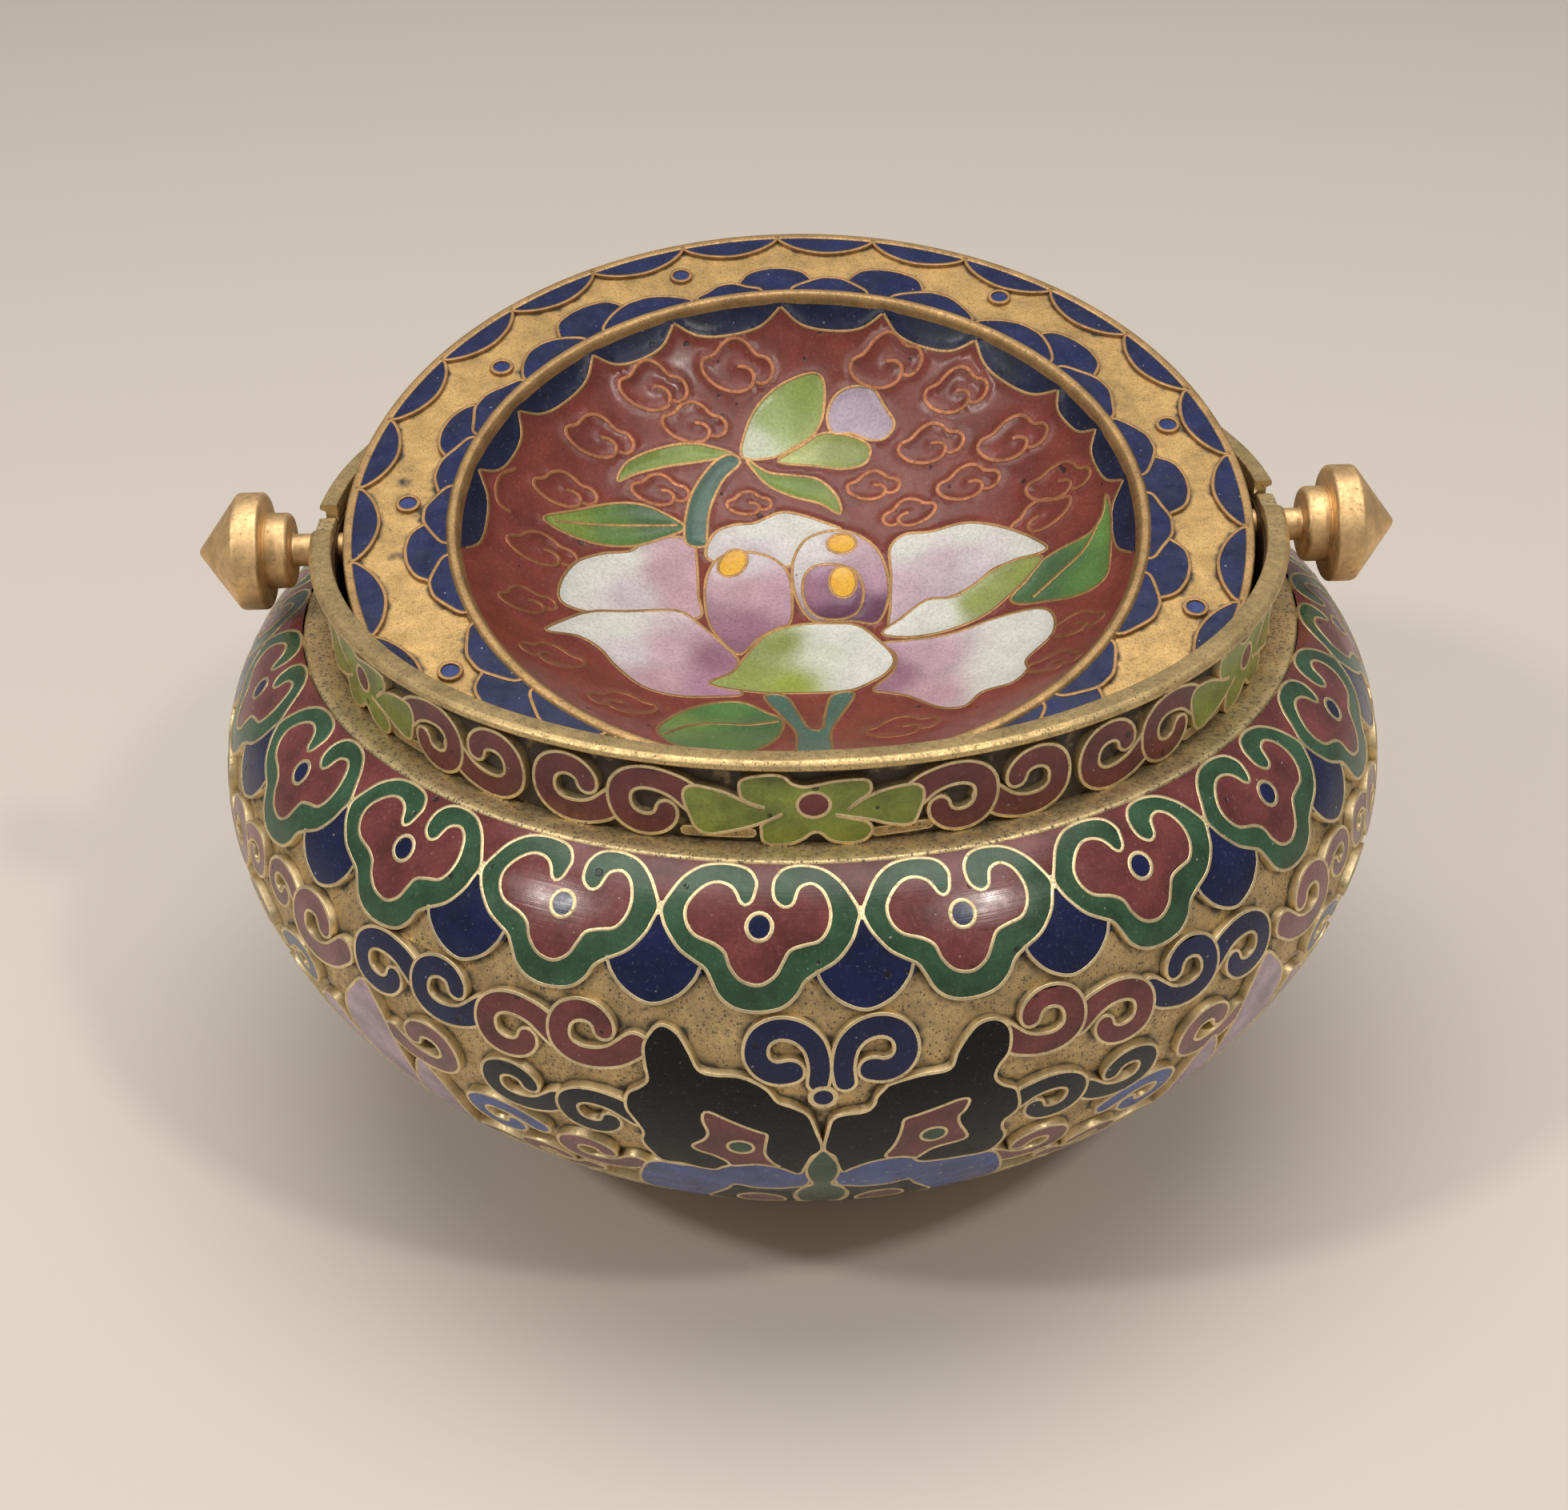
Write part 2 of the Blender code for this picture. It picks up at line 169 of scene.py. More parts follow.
def resampled(line, step, closed):
    if closed:
        line = np.vstack([line, line[:1]])
    length = np.concatenate([[0.0], np.cumsum(np.linalg.norm(np.diff(line, axis=0), axis=1))])
    count = max(3, int(round(length[-1] / step)) + 1)
    at = np.linspace(0.0, length[-1], count)
    made = np.column_stack([np.interp(at, length, line[:, i]) for i in (0, 1)])
    return made[:-1] if closed else made


def curve(points, closed=True, step=None):
    """a smooth line through the points, evenly sampled"""
    p = np.array(points, float)
    if closed:
        ring = np.vstack([p[-1:], p, p[:2]])
    else:
        ring = np.vstack([2 * p[:1] - p[1:2], p, 2 * p[-1:] - p[-2:-1]])
    t = np.linspace(0.0, 1.0, 9)[:-1, None]
    parts = []
    for a, b, c, d in zip(ring, ring[1:], ring[2:], ring[3:]):
        parts.append(0.5 * (2 * b + (c - a) * t + (2 * a - 5 * b + 4 * c - d) * t * t
                            + (3 * b - 3 * c + d - a) * t ** 3))
    line = np.vstack(parts)
    if not closed:
        line = np.vstack([line, p[-1:]])
    return resampled(line, step or STEP, closed)


def oval(middle, across, down):
    count = max(14, int(math.tau * max(across, down) / STEP))
    turn = np.linspace(0.0, math.tau, count, endpoint=False)
    return np.array(middle, float) + np.column_stack([across * np.cos(turn), down * np.sin(turn)])


def tree_of(places):
    """a search tree for the nearest of these places in the plane"""
    tree = KDTree(len(places))
    for index, place in enumerate(places):
        tree.insert((*place, 0.0), index)
    tree.balance()
    return tree


def inside(points, ring):
    """which points lie in a closed line, by crossings"""
    x, y = points[:, 0], points[:, 1]
    hit = np.zeros(len(points), bool)
    low, high = ring.min(0), ring.max(0)
    near = (x >= low[0]) & (x <= high[0]) & (y >= low[1]) & (y <= high[1])
    if not near.any():
        return hit
    x, y = x[near], y[near]
    state = np.zeros(len(x), bool)
    for (ax, ay), (bx, by) in zip(ring, np.roll(ring, -1, axis=0)):
        if ay == by:
            continue
        cross = ((ay > y) != (by > y)) & (x < (bx - ax) * (y - ay) / (by - ay) + ax)
        state ^= cross
    hit[near] = state
    return hit


def cut(border, regions, grid=CELL_GRID):
    """Triangles inside the border. kinds gives each one the last region that holds its middle, or -1."""
    points, edges = [], []

    def outline(ring):
        first = len(points)
        points.extend(map(tuple, ring))
        edges.extend((first + i, first + (i + 1) % len(ring)) for i in range(len(ring)))

    outline(border)
    for ring, _ in regions:
        outline(ring)
    low, high = border.min(0), border.max(0)
    columns = np.arange(low[0] + grid / 2, high[0], grid)
    rows = np.arange(low[1] + grid / 2, high[1], grid * 0.87)
    mesh = np.array([(x + (grid / 2) * (j % 2), y) for j, y in enumerate(rows) for x in columns])
    mesh = mesh[inside(mesh, border)]
    tree = tree_of(points)
    points.extend(tuple(p) for p in mesh if tree.find((*p, 0.0))[2] > grid * 0.3)
    made = delaunay_2d_cdt([Vector(p) for p in points], edges, [], 0, 1e-5)
    plane = np.array([tuple(p) for p in made[0]])
    triangles = np.array([f for f in made[2] if len(f) == 3])
    middles = plane[triangles].mean(axis=1)
    held = inside(middles, border)
    triangles, middles = triangles[held], middles[held]
    kinds = np.full(len(triangles), -1)
    for ring, kind in regions:
        kinds[inside(middles, ring)] = kind
    return plane, triangles, kinds


class Pile:
    """gathers what one piece is made of"""

    def __init__(self):
        self.points, self.normals, self.faces, self.kinds, self.values = [], [], [], [], []
        self.count = 0

    def add(self, points, normals, faces, kinds, values=None):
        faces = np.array(faces)
        self.points.append(points)
        self.normals.append(normals)
        self.faces.extend((faces + self.count).tolist())
        self.kinds.append(np.broadcast_to(kinds, len(faces)))
        self.values.append(np.zeros((len(points), 4)) if values is None else values)
        self.count += len(points)

    def add_cut(self, place, made, lift, wanted, values=None, shift=0.0):
        """lay cut triangles on a surface. wanted picks kinds and gives their material numbers."""
        plane, triangles, kinds = made
        pick = np.isin(kinds, list(wanted))
        triangles, kinds = triangles[pick], kinds[pick]
        if not len(triangles):
            return
        used, back = np.unique(triangles, return_inverse=True)
        triangles = back.reshape(-1, 3)
        spots = plane[used] + (shift, 0.0)
        points, normals = place(spots, lift)
        a, b, c = points[triangles[:, 0]], points[triangles[:, 1]], points[triangles[:, 2]]
        faces_out = np.einsum("ij,ij->i", np.cross(b - a, c - a), normals[triangles[:, 0]])
        flip = faces_out < 0
        triangles[flip] = triangles[flip][:, ::-1]
        kinds = np.vectorize(wanted.get)(kinds)
        self.add(points, normals, triangles, kinds, values and values(plane[used]))

    def build(self, name, paints, body, slot, color=None):
        mesh = bpy.data.meshes.new(name)
        points = np.vstack(self.points) * MM
        mesh.from_pydata(points.tolist(), [], self.faces)
        for paint in paints:
            mesh.materials.append(paint)
        mesh.polygons.foreach_set("material_index", np.concatenate(self.kinds).astype(np.int32))
        if color:
            layer = mesh.color_attributes.new(color, "FLOAT_COLOR", "POINT")
            layer.data.foreach_set("color", np.vstack(self.values).astype(np.float32).ravel())
        mesh.polygons.foreach_set("use_smooth", np.ones(len(mesh.polygons), bool))
        mesh.normals_split_custom_set_from_vertices(np.vstack(self.normals).tolist())
        mesh.update()
        return keep(bpy.data.objects.new(name, mesh), body)


def keep(item, body):
    bpy.context.scene.collection.objects.link(item)
    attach(item, body)
    return item


def unit(vectors):
    return vectors / np.maximum(np.linalg.norm(vectors, axis=1), 1e-9)[:, None]


def wire(pile, place, line, closed, width, rise, depth, kind=0, shift=0.0):
    """a flat gilt wire with softened edges that stands in the surface along a line"""
    line = line + (shift, 0.0)
    centre, up = place(line, 0.0)
    if closed:
        ahead = np.roll(centre, -1, axis=0) - np.roll(centre, 1, axis=0)
    else:
        ahead = np.gradient(centre, axis=0)
    side = unit(np.cross(unit(ahead), up))
    edge = min(rise, 0.0) - 0.07
    rows = [(-0.5, -depth, -1.0, 0.0), (-0.5, edge, -1.0, 0.2), (-0.36, rise, -0.2, 1.0),
            (0.36, rise, 0.2, 1.0), (0.5, edge, 1.0, 0.2), (0.5, -depth, 1.0, 0.0)]
    points = [centre + side * (across * width) + up * high for across, high, _, _ in rows]
    normals = [unit(side * out + up * lift) for _, _, out, lift in rows]
    count, deep = len(line), len(rows)
    points = np.stack(points, axis=1).reshape(-1, 3)
    normals = np.stack(normals, axis=1).reshape(-1, 3)
    faces = []
    for i in range(count if closed else count - 1):
        a, b = i * deep, (i + 1) % count * deep
        faces.extend((a + j, a + j + 1, b + j + 1, b + j) for j in range(deep - 1))
    pile.add(points, normals, faces, kind)
    if not closed:
        for end, order in ((0, (5, 4, 3, 2, 1, 0)), ((count - 1) * deep, (0, 1, 2, 3, 4, 5))):
            corners = [end + j for j in order]
            ends = unit(ahead[[0 if end == 0 else -1]]) * (-1 if end == 0 else 1)
            pile.add(points[corners], np.repeat(ends, deep, axis=0),
                     [(0, 1, 2), (0, 2, 3), (0, 3, 4), (0, 4, 5)], kind)


def shown(line, closed, covers):
    """the stretches of a line that no later cell covers"""
    whole, line = line, resampled(line, 0.1, closed)
    hidden = np.zeros(len(line), bool)
    for ring in covers:
        hidden |= inside(line, ring)
    if not hidden.any():
        return [(whole, closed)]
    if closed:
        first = int(np.argmax(hidden))
        line, hidden = np.roll(line, -first, axis=0), np.roll(hidden, -first)
    parts, run = [], []
    for point, cover in zip(line, hidden):
        if cover:
            parts.append(run)
            run = []
        else:
            run.append(point)
    parts.append(run)
    return [(resampled(np.array(part), STEP, False), False) for part in parts if len(part) > 6]


def clipped(lines, regions):
    """what shows of closed lines, given as (line, width, depth, number of the first region over it)"""
    return [(part, whole, width, depth) for line, width, depth, later in lines
            for part, whole in shown(line, True, [ring for ring, _ in regions[later:]])]


def uncovered(lines):
    """what later cells leave of lines, given as (line, closed, width, its own cell or None)"""
    drawn = []
    for index, (line, closed, width, _) in enumerate(lines):
        covers = [cell for *_, cell in lines[index + 1:] if cell is not None]
        drawn.extend((part, whole, width) for part, whole in shown(line, closed, covers))
    return drawn


class Ridged:
    """a dished surface whose glaze swells softly over the wires laid in it"""

    def __init__(self, place, lines, high, wide):
        self.place, self.high, self.wide = place, high, wide
        self.spots = np.vstack(lines)
        self.tree = tree_of(self.spots)

    def __call__(self, plane, lift=0.0):
        near = self.spots[[self.tree.find((*p, 0.0))[1] for p in plane]]
        away = plane - near
        rise = self.high * np.exp(-(away ** 2).sum(axis=1) / self.wide ** 2)
        slope = -2.0 * (rise / self.wide ** 2)[:, None] * away
        points, normals = self.place(plane, rise + lift)
        lean = np.column_stack([slope, np.zeros(len(slope))])
        return points, unit(normals - tilted(lean, 0.0))


def band(path, widths):
    """closed outline of a band along a path, round at both ends, with its widths from tail to tip"""
    line = curve(path, closed=False, step=0.25)
    ahead = unit(np.gradient(line, axis=0))
    side = np.column_stack([-ahead[:, 1], ahead[:, 0]])
    half = np.interp(np.linspace(0, 1, len(line)), np.linspace(0, 1, len(widths)), widths) / 2
    left, right = line + side * half[:, None], line - side * half[:, None]
    turn = np.linspace(math.pi / 2, -math.pi / 2, 9)[1:-1]
    tip = line[-1] + half[-1] * (np.cos(turn)[:, None] * ahead[-1] + np.sin(turn)[:, None] * side[-1])
    tail = line[0] - half[0] * (np.cos(turn)[:, None] * ahead[0] + np.sin(turn)[:, None] * side[0])
    return resampled(np.vstack([left, tip, right[::-1], tail]), STEP, True)


def moved(points, middle, mirror=1.0, flip=1.0, size=1.0):
    return np.array(points, float) * (mirror * size, flip * size) + np.array(middle, float)


# Volute in millimetres around its middle, y down: a tail at the upper right, over the top, left,
# under and up to a round end. Mirrored and flipped copies make up the chains.
VOLUTE = [
    (4.4, -0.3), (3.6, -0.95), (2.6, -1.65), (1.0, -2.12), (-0.6, -2.0), (-1.75, -1.15), (-2.0, 0.2),
    (-1.5, 1.45), (-0.3, 2.05), (0.95, 1.9), (1.75, 1.2), (1.85, 0.6),
]
VOLUTE_WIDTH = [2.3, 2.2, 2.0, 1.95, 1.9, 1.9, 1.9, 1.9, 1.85, 1.8, 1.75]
FEELER = [
    (2.75, 2.9), (2.9, 1.3), (2.5, -0.6), (1.3, -1.8), (-0.3, -2.1), (-1.7, -1.35), (-2.1, 0.2),
    (-1.5, 1.45), (-0.4, 1.95), (0.6, 1.75),
]


def volute(middle, mirror, flip, size):
    return band(moved(VOLUTE, middle, mirror, flip, size), [w * size for w in VOLUTE_WIDTH])


# Materials

def linear(red, green, blue):
    """a screen colour, 0 to 255, as Blender's linear colour"""
    parts = [c / 255.0 for c in (red, green, blue)]
    return (*(p / 12.92 if p < 0.04045 else ((p + 0.055) / 1.055) ** 2.4 for p in parts), 1.0)


class Paint:
    """a node material with a few short calls"""

    def __init__(self, name, roughness, metallic=0.0):
        self.item = bpy.data.materials.new(name)
        self.item.use_nodes = True
        self.tree = self.item.node_tree
        self.shader = self.tree.nodes["Principled BSDF"]
        self.shader.inputs["Roughness"].default_value = roughness
        self.shader.inputs["Metallic"].default_value = metallic
        self.place = self.node("ShaderNodeTexCoord").outputs["Object"]

    def node(self, kind, **settings):
        made = self.tree.nodes.new(kind)
        for key, value in settings.items():
            setattr(made, key, value)
        return made

    def put(self, socket, value):
        if isinstance(value, bpy.types.NodeSocket):
            self.tree.links.new(value, socket)
        else:
            socket.default_value = value

    def stretched(self, scale):
        node = self.node("ShaderNodeMapping")
        self.put(node.inputs["Vector"], self.place)
        node.inputs["Scale"].default_value = scale
        return node.outputs["Vector"]

    def noise(self, size, detail=3.0, vector=None, rough=0.5):
        """noise with features of about size millimetres"""
        node = self.node("ShaderNodeTexNoise")
        self.put(node.inputs["Vector"], vector or self.place)
        node.inputs["Scale"].default_value = 1.0 / (size * MM)
        node.inputs["Detail"].default_value = detail
        node.inputs["Roughness"].default_value = rough
        return node.outputs["Fac"]

    def dots(self, size, most, vector=None):
        """1 in round dots on cells of size millimetres, each of a random width up to most of a cell"""
        node = self.node("ShaderNodeTexVoronoi")
        self.put(node.inputs["Vector"], vector or self.place)
        node.inputs["Scale"].default_value = 1.0 / (size * MM)
        split = self.node("ShaderNodeSeparateColor")
        self.put(split.inputs["Color"], node.outputs["Color"])
        wide = self.math("MULTIPLY", self.math("POWER", split.outputs["Red"], 3.0), most)
        gap = self.math("SUBTRACT", wide, node.outputs["Distance"])
        return self.ramp(gap, 0.0, 0.05)

    def math(self, operation, a, b=0.0):
        node = self.node("ShaderNodeMath", operation=operation)
        self.put(node.inputs[0], a)
        self.put(node.inputs[1], b)
        return node.outputs[0]

    def ramp(self, value, low, high, start=0.0, end=1.0):
        node = self.node("ShaderNodeMapRange", clamp=True)
        for socket, given in zip(node.inputs, (value, low, high, start, end)):
            self.put(socket, given)
        return node.outputs["Result"]

    def mix(self, factor, a, b, blend="MIX"):
        node = self.node("ShaderNodeMix", data_type="RGBA", blend_type=blend)
        self.put(node.inputs[0], factor)
        self.put(node.inputs[6], a)
        self.put(node.inputs[7], b)
        return node.outputs[2]

    def attribute(self, name):
        return self.node("ShaderNodeAttribute", attribute_name=name)

    def bump(self, height, depth, strength=1.0, before=None):
        """depth in millimetres"""
        node = self.node("ShaderNodeBump")
        self.put(node.inputs["Height"], height)
        node.inputs["Distance"].default_value = depth * MM
        node.inputs["Strength"].default_value = strength
        if before:
            self.put(node.inputs["Normal"], before)
        return node.outputs["Normal"]

    def finish(self, color, normal=None, roughness=None):
        self.put(self.shader.inputs["Base Color"], color)
        if normal:
            self.put(self.shader.inputs["Normal"], normal)
        if roughness:
            self.put(self.shader.inputs["Roughness"], roughness)
        return self.item


def shade(color, factor):
    return (*(min(1.0, c * factor) for c in color[:3]), 1.0)


OPAQUE_BLACK = (0.0, 0.0, 0.0, 1.0)
OPAQUE_WHITE = (1.0, 1.0, 1.0, 1.0)
SOOT = (0.012, 0.012, 0.012, 1.0)
PIT = (0.012, 0.010, 0.010, 1.0)
CHALK = (0.55, 0.52, 0.48, 1.0)
PALE_SPECK = (0.42, 0.42, 0.40, 1.0)
# dark colour for tarnish, and for patina and painted shade near the raised cells
PATINA_AND_SHADE_COLOR = (0.05, 0.04, 0.03, 1.0)


def enamel(name, color=None, gloss=0.2, mottle=0.35, pits=0.22, specks=0.16, tint=None, scratched=True,
           shine=0.4, uneven=0.08):
    """glassy enamel, ground flat: uneven colour, pits, pale specks and fine scratches"""
    paint = Paint(name, gloss)
    paint.shader.inputs["Specular IOR Level"].default_value = shine
    if scratched:
        paint.shader.inputs["Anisotropic"].default_value = 0.55
        paint.shader.inputs["Anisotropic Rotation"].default_value = 0.25
    base = paint.attribute(tint).outputs["Color"] if tint else color
    broad = paint.noise(3.2, 4.0)
    fine = paint.noise(0.3, 4.0, rough=0.75)
    varied = paint.mix(paint.ramp(broad, 0.3, 0.7), OPAQUE_BLACK, OPAQUE_WHITE)
    dull = paint.mix(mottle, base, paint.mix(1.0, base, varied, "OVERLAY"))
    dull = paint.mix(paint.ramp(fine, 0.42, 0.68, 0.0, 0.5), dull, paint.mix(0.6, dull, SOOT))
    dull = paint.mix(paint.ramp(fine, 0.40, 0.28, 0.0, 0.16), dull, CHALK)
    pale = paint.dots(0.9, specks, paint.stretched((1.0, 1.0, 1.3)))
    dull = paint.mix(paint.math("MULTIPLY", pale, 0.55), dull, PALE_SPECK)
    hole = paint.dots(1.7, pits)
    dull = paint.mix(paint.math("MULTIPLY", hole, 0.8), dull, PIT)
    normal = paint.bump(broad, uneven, 0.25)
    if scratched:
        scratch = paint.noise(1.0, 3.0, paint.stretched((0.05, 0.05, 4.5)), 0.8)
        normal = paint.bump(scratch, 0.03, 0.55, normal)
    normal = paint.bump(paint.math("SUBTRACT", 1.0, hole), 0.06, 0.8, normal)
    rough = paint.ramp(paint.noise(2.0, 5.0, rough=0.65), 0.3, 0.75, gloss - 0.06, gloss + 0.16)
    return paint.finish(dull, normal, rough)


def gilt(name, color, roughness, patina=0.5, grain=0.5, dots=0.0, crevice_patina_shade=None, turned=None):
    """gilt copper or brass with tarnish, pits and, where an attribute is named, dark patina and painted
    shade near the raised cells
    """
    paint = Paint(name, roughness, 1.0)
    broad = paint.noise(2.6, 5.0, rough=0.65)
    fine = paint.noise(grain, 4.0, rough=0.7)
    dull = paint.mix(paint.ramp(broad, 0.35, 0.7), color, shade(color, 0.62))
    dark = paint.ramp(fine, 0.62 - 0.16 * patina, 0.78, 0.0, 0.9)
    if dots:
        speck = paint.dots(0.24, dots)
        dark = paint.math("MAXIMUM", dark, paint.math("MULTIPLY", speck, 0.8))
        dust = paint.noise(0.13, 3.0, rough=0.7)
        dark = paint.math("MAXIMUM", dark, paint.ramp(dust, 0.5, 0.72, 0.0, 0.75))
    # dark patina and painted shade near the raised cells, read from an attribute
    if crevice_patina_shade:
        near = paint.attribute(crevice_patina_shade).outputs["Fac"]
        patina_shade_mask = paint.math("ADD", near, paint.ramp(paint.noise(1.5, 4.0), 0.3, 0.7, -0.3, 0.3))
        dark = paint.math("MAXIMUM", dark, paint.ramp(patina_shade_mask, 0.3, 0.85))
    dull = paint.mix(dark, dull, PATINA_AND_SHADE_COLOR)
    normal = paint.bump(fine, 0.05, 0.35)
    if turned:
        lathe = paint.noise(1.0, 3.0, paint.stretched(turned), 0.6)
        normal = paint.bump(lathe, 0.03, 0.3, normal)
    metal = paint.math("SUBTRACT", 1.0, paint.math("MULTIPLY", dark, 0.8))
    paint.put(paint.shader.inputs["Metallic"], metal)
    rough = paint.ramp(fine, 0.3, 0.8, roughness - 0.06, roughness + 0.3)
    return paint.finish(dull, normal, rough)


MAROON = enamel("enamel_maroon", linear(108, 54, 52))
GREEN = enamel("enamel_green", linear(48, 80, 56))
NAVY = enamel("enamel_navy", linear(20, 28, 66), shine=0.3)
RED_SCROLL = enamel("enamel_red", linear(104, 50, 48))
BLACK = enamel("enamel_black", linear(8, 9, 12), mottle=0.1, specks=0.05, shine=0.2)
SLATE = enamel("enamel_slate", linear(18, 26, 32), shine=0.25)
SKY = enamel("enamel_light_blue", linear(66, 86, 146), specks=0.3)
MAUVE = enamel("enamel_mauve", linear(122, 78, 78))
PINK = enamel("enamel_pale_pink", linear(172, 148, 162))
LIME = enamel("enamel_yellow_green", linear(124, 136, 58))
GREY_BLUE = enamel("enamel_grey_blue", linear(74, 86, 110))
WIRE = gilt("gilt_wire", linear(236, 216, 172), 0.42, patina=0.3, grain=0.3)
# the bowl's gilt ground darkens near the cells: dark patina and painted shade
GROUND = gilt("gilt_ground", linear(216, 190, 142), 0.52, patina=0.6, dots=0.6, crevice_patina_shade="crevice_patina_shade")
LEDGE = gilt("gilt_ledge", linear(240, 216, 164), 0.45, patina=0.6, dots=0.8)
RIM = gilt("rim_brass_worn", linear(226, 198, 142), 0.42, patina=0.5, dots=0.45)
INSIDE = gilt("bowl_inside_metal", linear(104, 80, 54), 0.5, patina=0.8)
KNOB = gilt("turned_brass", linear(240, 204, 150), 0.46, patina=0.12, turned=(6.0, 0.05, 0.05))
# the flange's gilt darkens near its wires and pits: dark patina and painted shade, read from the tint
# attribute
DISH_GOLD = gilt("dish_gilt", linear(218, 182, 122), 0.44, patina=0.25, dots=0.3, crevice_patina_shade="tint")
DISH_RING = gilt("dish_ring_gilt", linear(198, 162, 112), 0.46, patina=0.3, dots=0.3)
DISH_UNDER = gilt("dish_under_metal", linear(158, 124, 80), 0.45, patina=0.5)
DISH_WIRE = gilt("dish_wire", linear(188, 150, 104), 0.48, patina=0.2, grain=0.3)
DISH_RIDGE = gilt("dish_cloud_wire", linear(178, 122, 90), 0.5, patina=0.3, grain=0.4)
DISH_RED = enamel("dish_enamel_red", linear(116, 52, 42), mottle=0.2, gloss=0.3, scratched=False,
                  specks=0.0, uneven=0.03)
DISH_BLUE = enamel("dish_enamel_blue", linear(24, 34, 76), gloss=0.26, scratched=False, uneven=0.05)
DISH_DOT = enamel("dish_enamel_dot", linear(48, 62, 112), gloss=0.22, scratched=False)
DISH_TINT = enamel("dish_enamel_flower", tint="tint", mottle=0.12, pits=0.1, specks=0.0, gloss=0.32,
                   scratched=False, uneven=0.03)
# the navy half rounds under the ring: navy enamel, made darker with painted shade from the ring
DISH_NAVY_RING_SHADED = enamel("dish_enamel_navy_ring_shaded", linear(20, 26, 54), gloss=0.34, scratched=False, shine=0.25,
                   uneven=0.02)


# Turned and swept forms

def spin(pile, section, kind=0, start=-180.0, end=180.0, step=2.0, placed=None, sharp=35.0, swell=None):
    """Turn a section of (radius, height) points about Z. Its solid side is on the right of its path."""
    section = np.array(section, float)
    ahead = unit(np.diff(section, axis=0))
    out = np.column_stack([-ahead[:, 1], ahead[:, 0]])
    rows, tilts = [section[0]], [out[0]]
    for i in range(1, len(section) - 1):
        if np.dot(out[i - 1], out[i]) < math.cos(math.radians(sharp)):
            rows.extend([section[i], section[i]])
            tilts.extend([out[i - 1], out[i]])
        else:
            rows.append(section[i])
            tilts.append(out[i - 1] + out[i])
    rows.append(section[-1])
    tilts.append(out[-1])
    rows, tilts = np.array(rows), unit(np.array(tilts))
    whole = end - start >= 360.0
    count = int(round((end - start) / step)) + (0 if whole else 1)
    turns = np.radians(start + (end - start) * np.arange(count) / (count if whole else count - 1))
    x, y = np.sin(turns)[:, None], -np.cos(turns)[:, None]
    points, normals = (
        np.stack([part[:, 0] * x, part[:, 0] * y, np.broadcast_to(part[:, 1], (count, len(part)))],
                 axis=2).reshape(-1, 3) for part in (rows, tilts))
    if swell:
        points = swell(points, normals)
    if placed:
        points, normals = placed(points, normals)
    faces = []
    deep = len(rows)
    for i in range(count if whole else count - 1):
        a, b = i * deep, (i + 1) % count * deep
        for j in range(deep - 1):
            if not np.allclose(rows[j], rows[j + 1]):
                faces.append((a + j, a + j + 1, b + j + 1, b + j))
    pile.add(points, normals, faces, kind)
    return points.reshape(count, deep, 3)


def cap(pile, ring, middle, normal, kind):
    """close an end with a fan"""
    points = np.vstack([ring, [middle]])
    count = len(ring)
    faces = [(i, (i + 1) % count, count) for i in range(count)]
    a, b, c = points[0], points[1], points[count]
    if np.dot(np.cross(b - a, c - a), normal) < 0:
        faces = [f[::-1] for f in faces]
    pile.add(points, np.tile(np.array(normal, float), (count + 1, 1)), faces, kind)


def on_dish(points, normals):
    return tilted(points), tilted(normals, 0.0)


def rounded(corners, radius):
    """an open path with its inner corners rounded"""
    corners = [np.array(c, float) for c in corners]
    made = [corners[0]]
    for before, here, after in zip(corners, corners[1:], corners[2:]):
        back, ahead = before - here, after - here
        reach = min(radius, 0.45 * np.linalg.norm(back), 0.45 * np.linalg.norm(ahead))
        a = here + back / np.linalg.norm(back) * reach
        b = here + ahead / np.linalg.norm(ahead) * reach
        t = np.linspace(0.0, 1.0, 5)[:, None]
        made.extend((1 - t) ** 2 * a + 2 * t * (1 - t) * here + t * t * b)
    made.append(corners[-1])
    return np.array(made)


# The bowl's outside

PROFILE = body_profile()
DOWN = np.concatenate([[0.0], np.cumsum(np.linalg.norm(np.diff(PROFILE, axis=0), axis=1))])
DEGREE = 0.95
BELLY = Turned(PROFILE, DOWN, DEGREE)
LENGTH = DOWN[-1]
BAND_END = 12.4
HEAD_PITCH = 18.0
HEAD_TURN = -5.29
HEADS = 20
PANEL_HALF = 60.0
BELLY_TURNS = (0.0, 120.0, 240.0)

HEAD_OUTER = [
    (-.8, 3.2), (-.5, 2.3), (-.45, 1.6), (-1.1, .65), (-2.3, .2), (-4, .1), (-5.8, .45), (-7.3, 1.5),
    (-8.3, 3.0), (-8.86, 4.2), (-8.55, 5.2), (-7.95, 6.1), (-6.8, 7.3), (-5.5, 8.05), (-4.5, 8.6),
    (-3.9, 9.5), (-3.2, 10.7), (-2, 11.55), (-.2, 11.85), (1.9, 11.5), (3.2, 10.5), (3.9, 9.4), (5, 8.7),
    (6.7, 7.8), (8, 6.4), (8.55, 5.2), (8.86, 4.2), (8.3, 3.0), (7.3, 1.6), (5.8, .5), (3.9, .1),
    (2.2, .35), (1.3, 1.2), (1.1, 2.2), (1.35, 3.1),
]
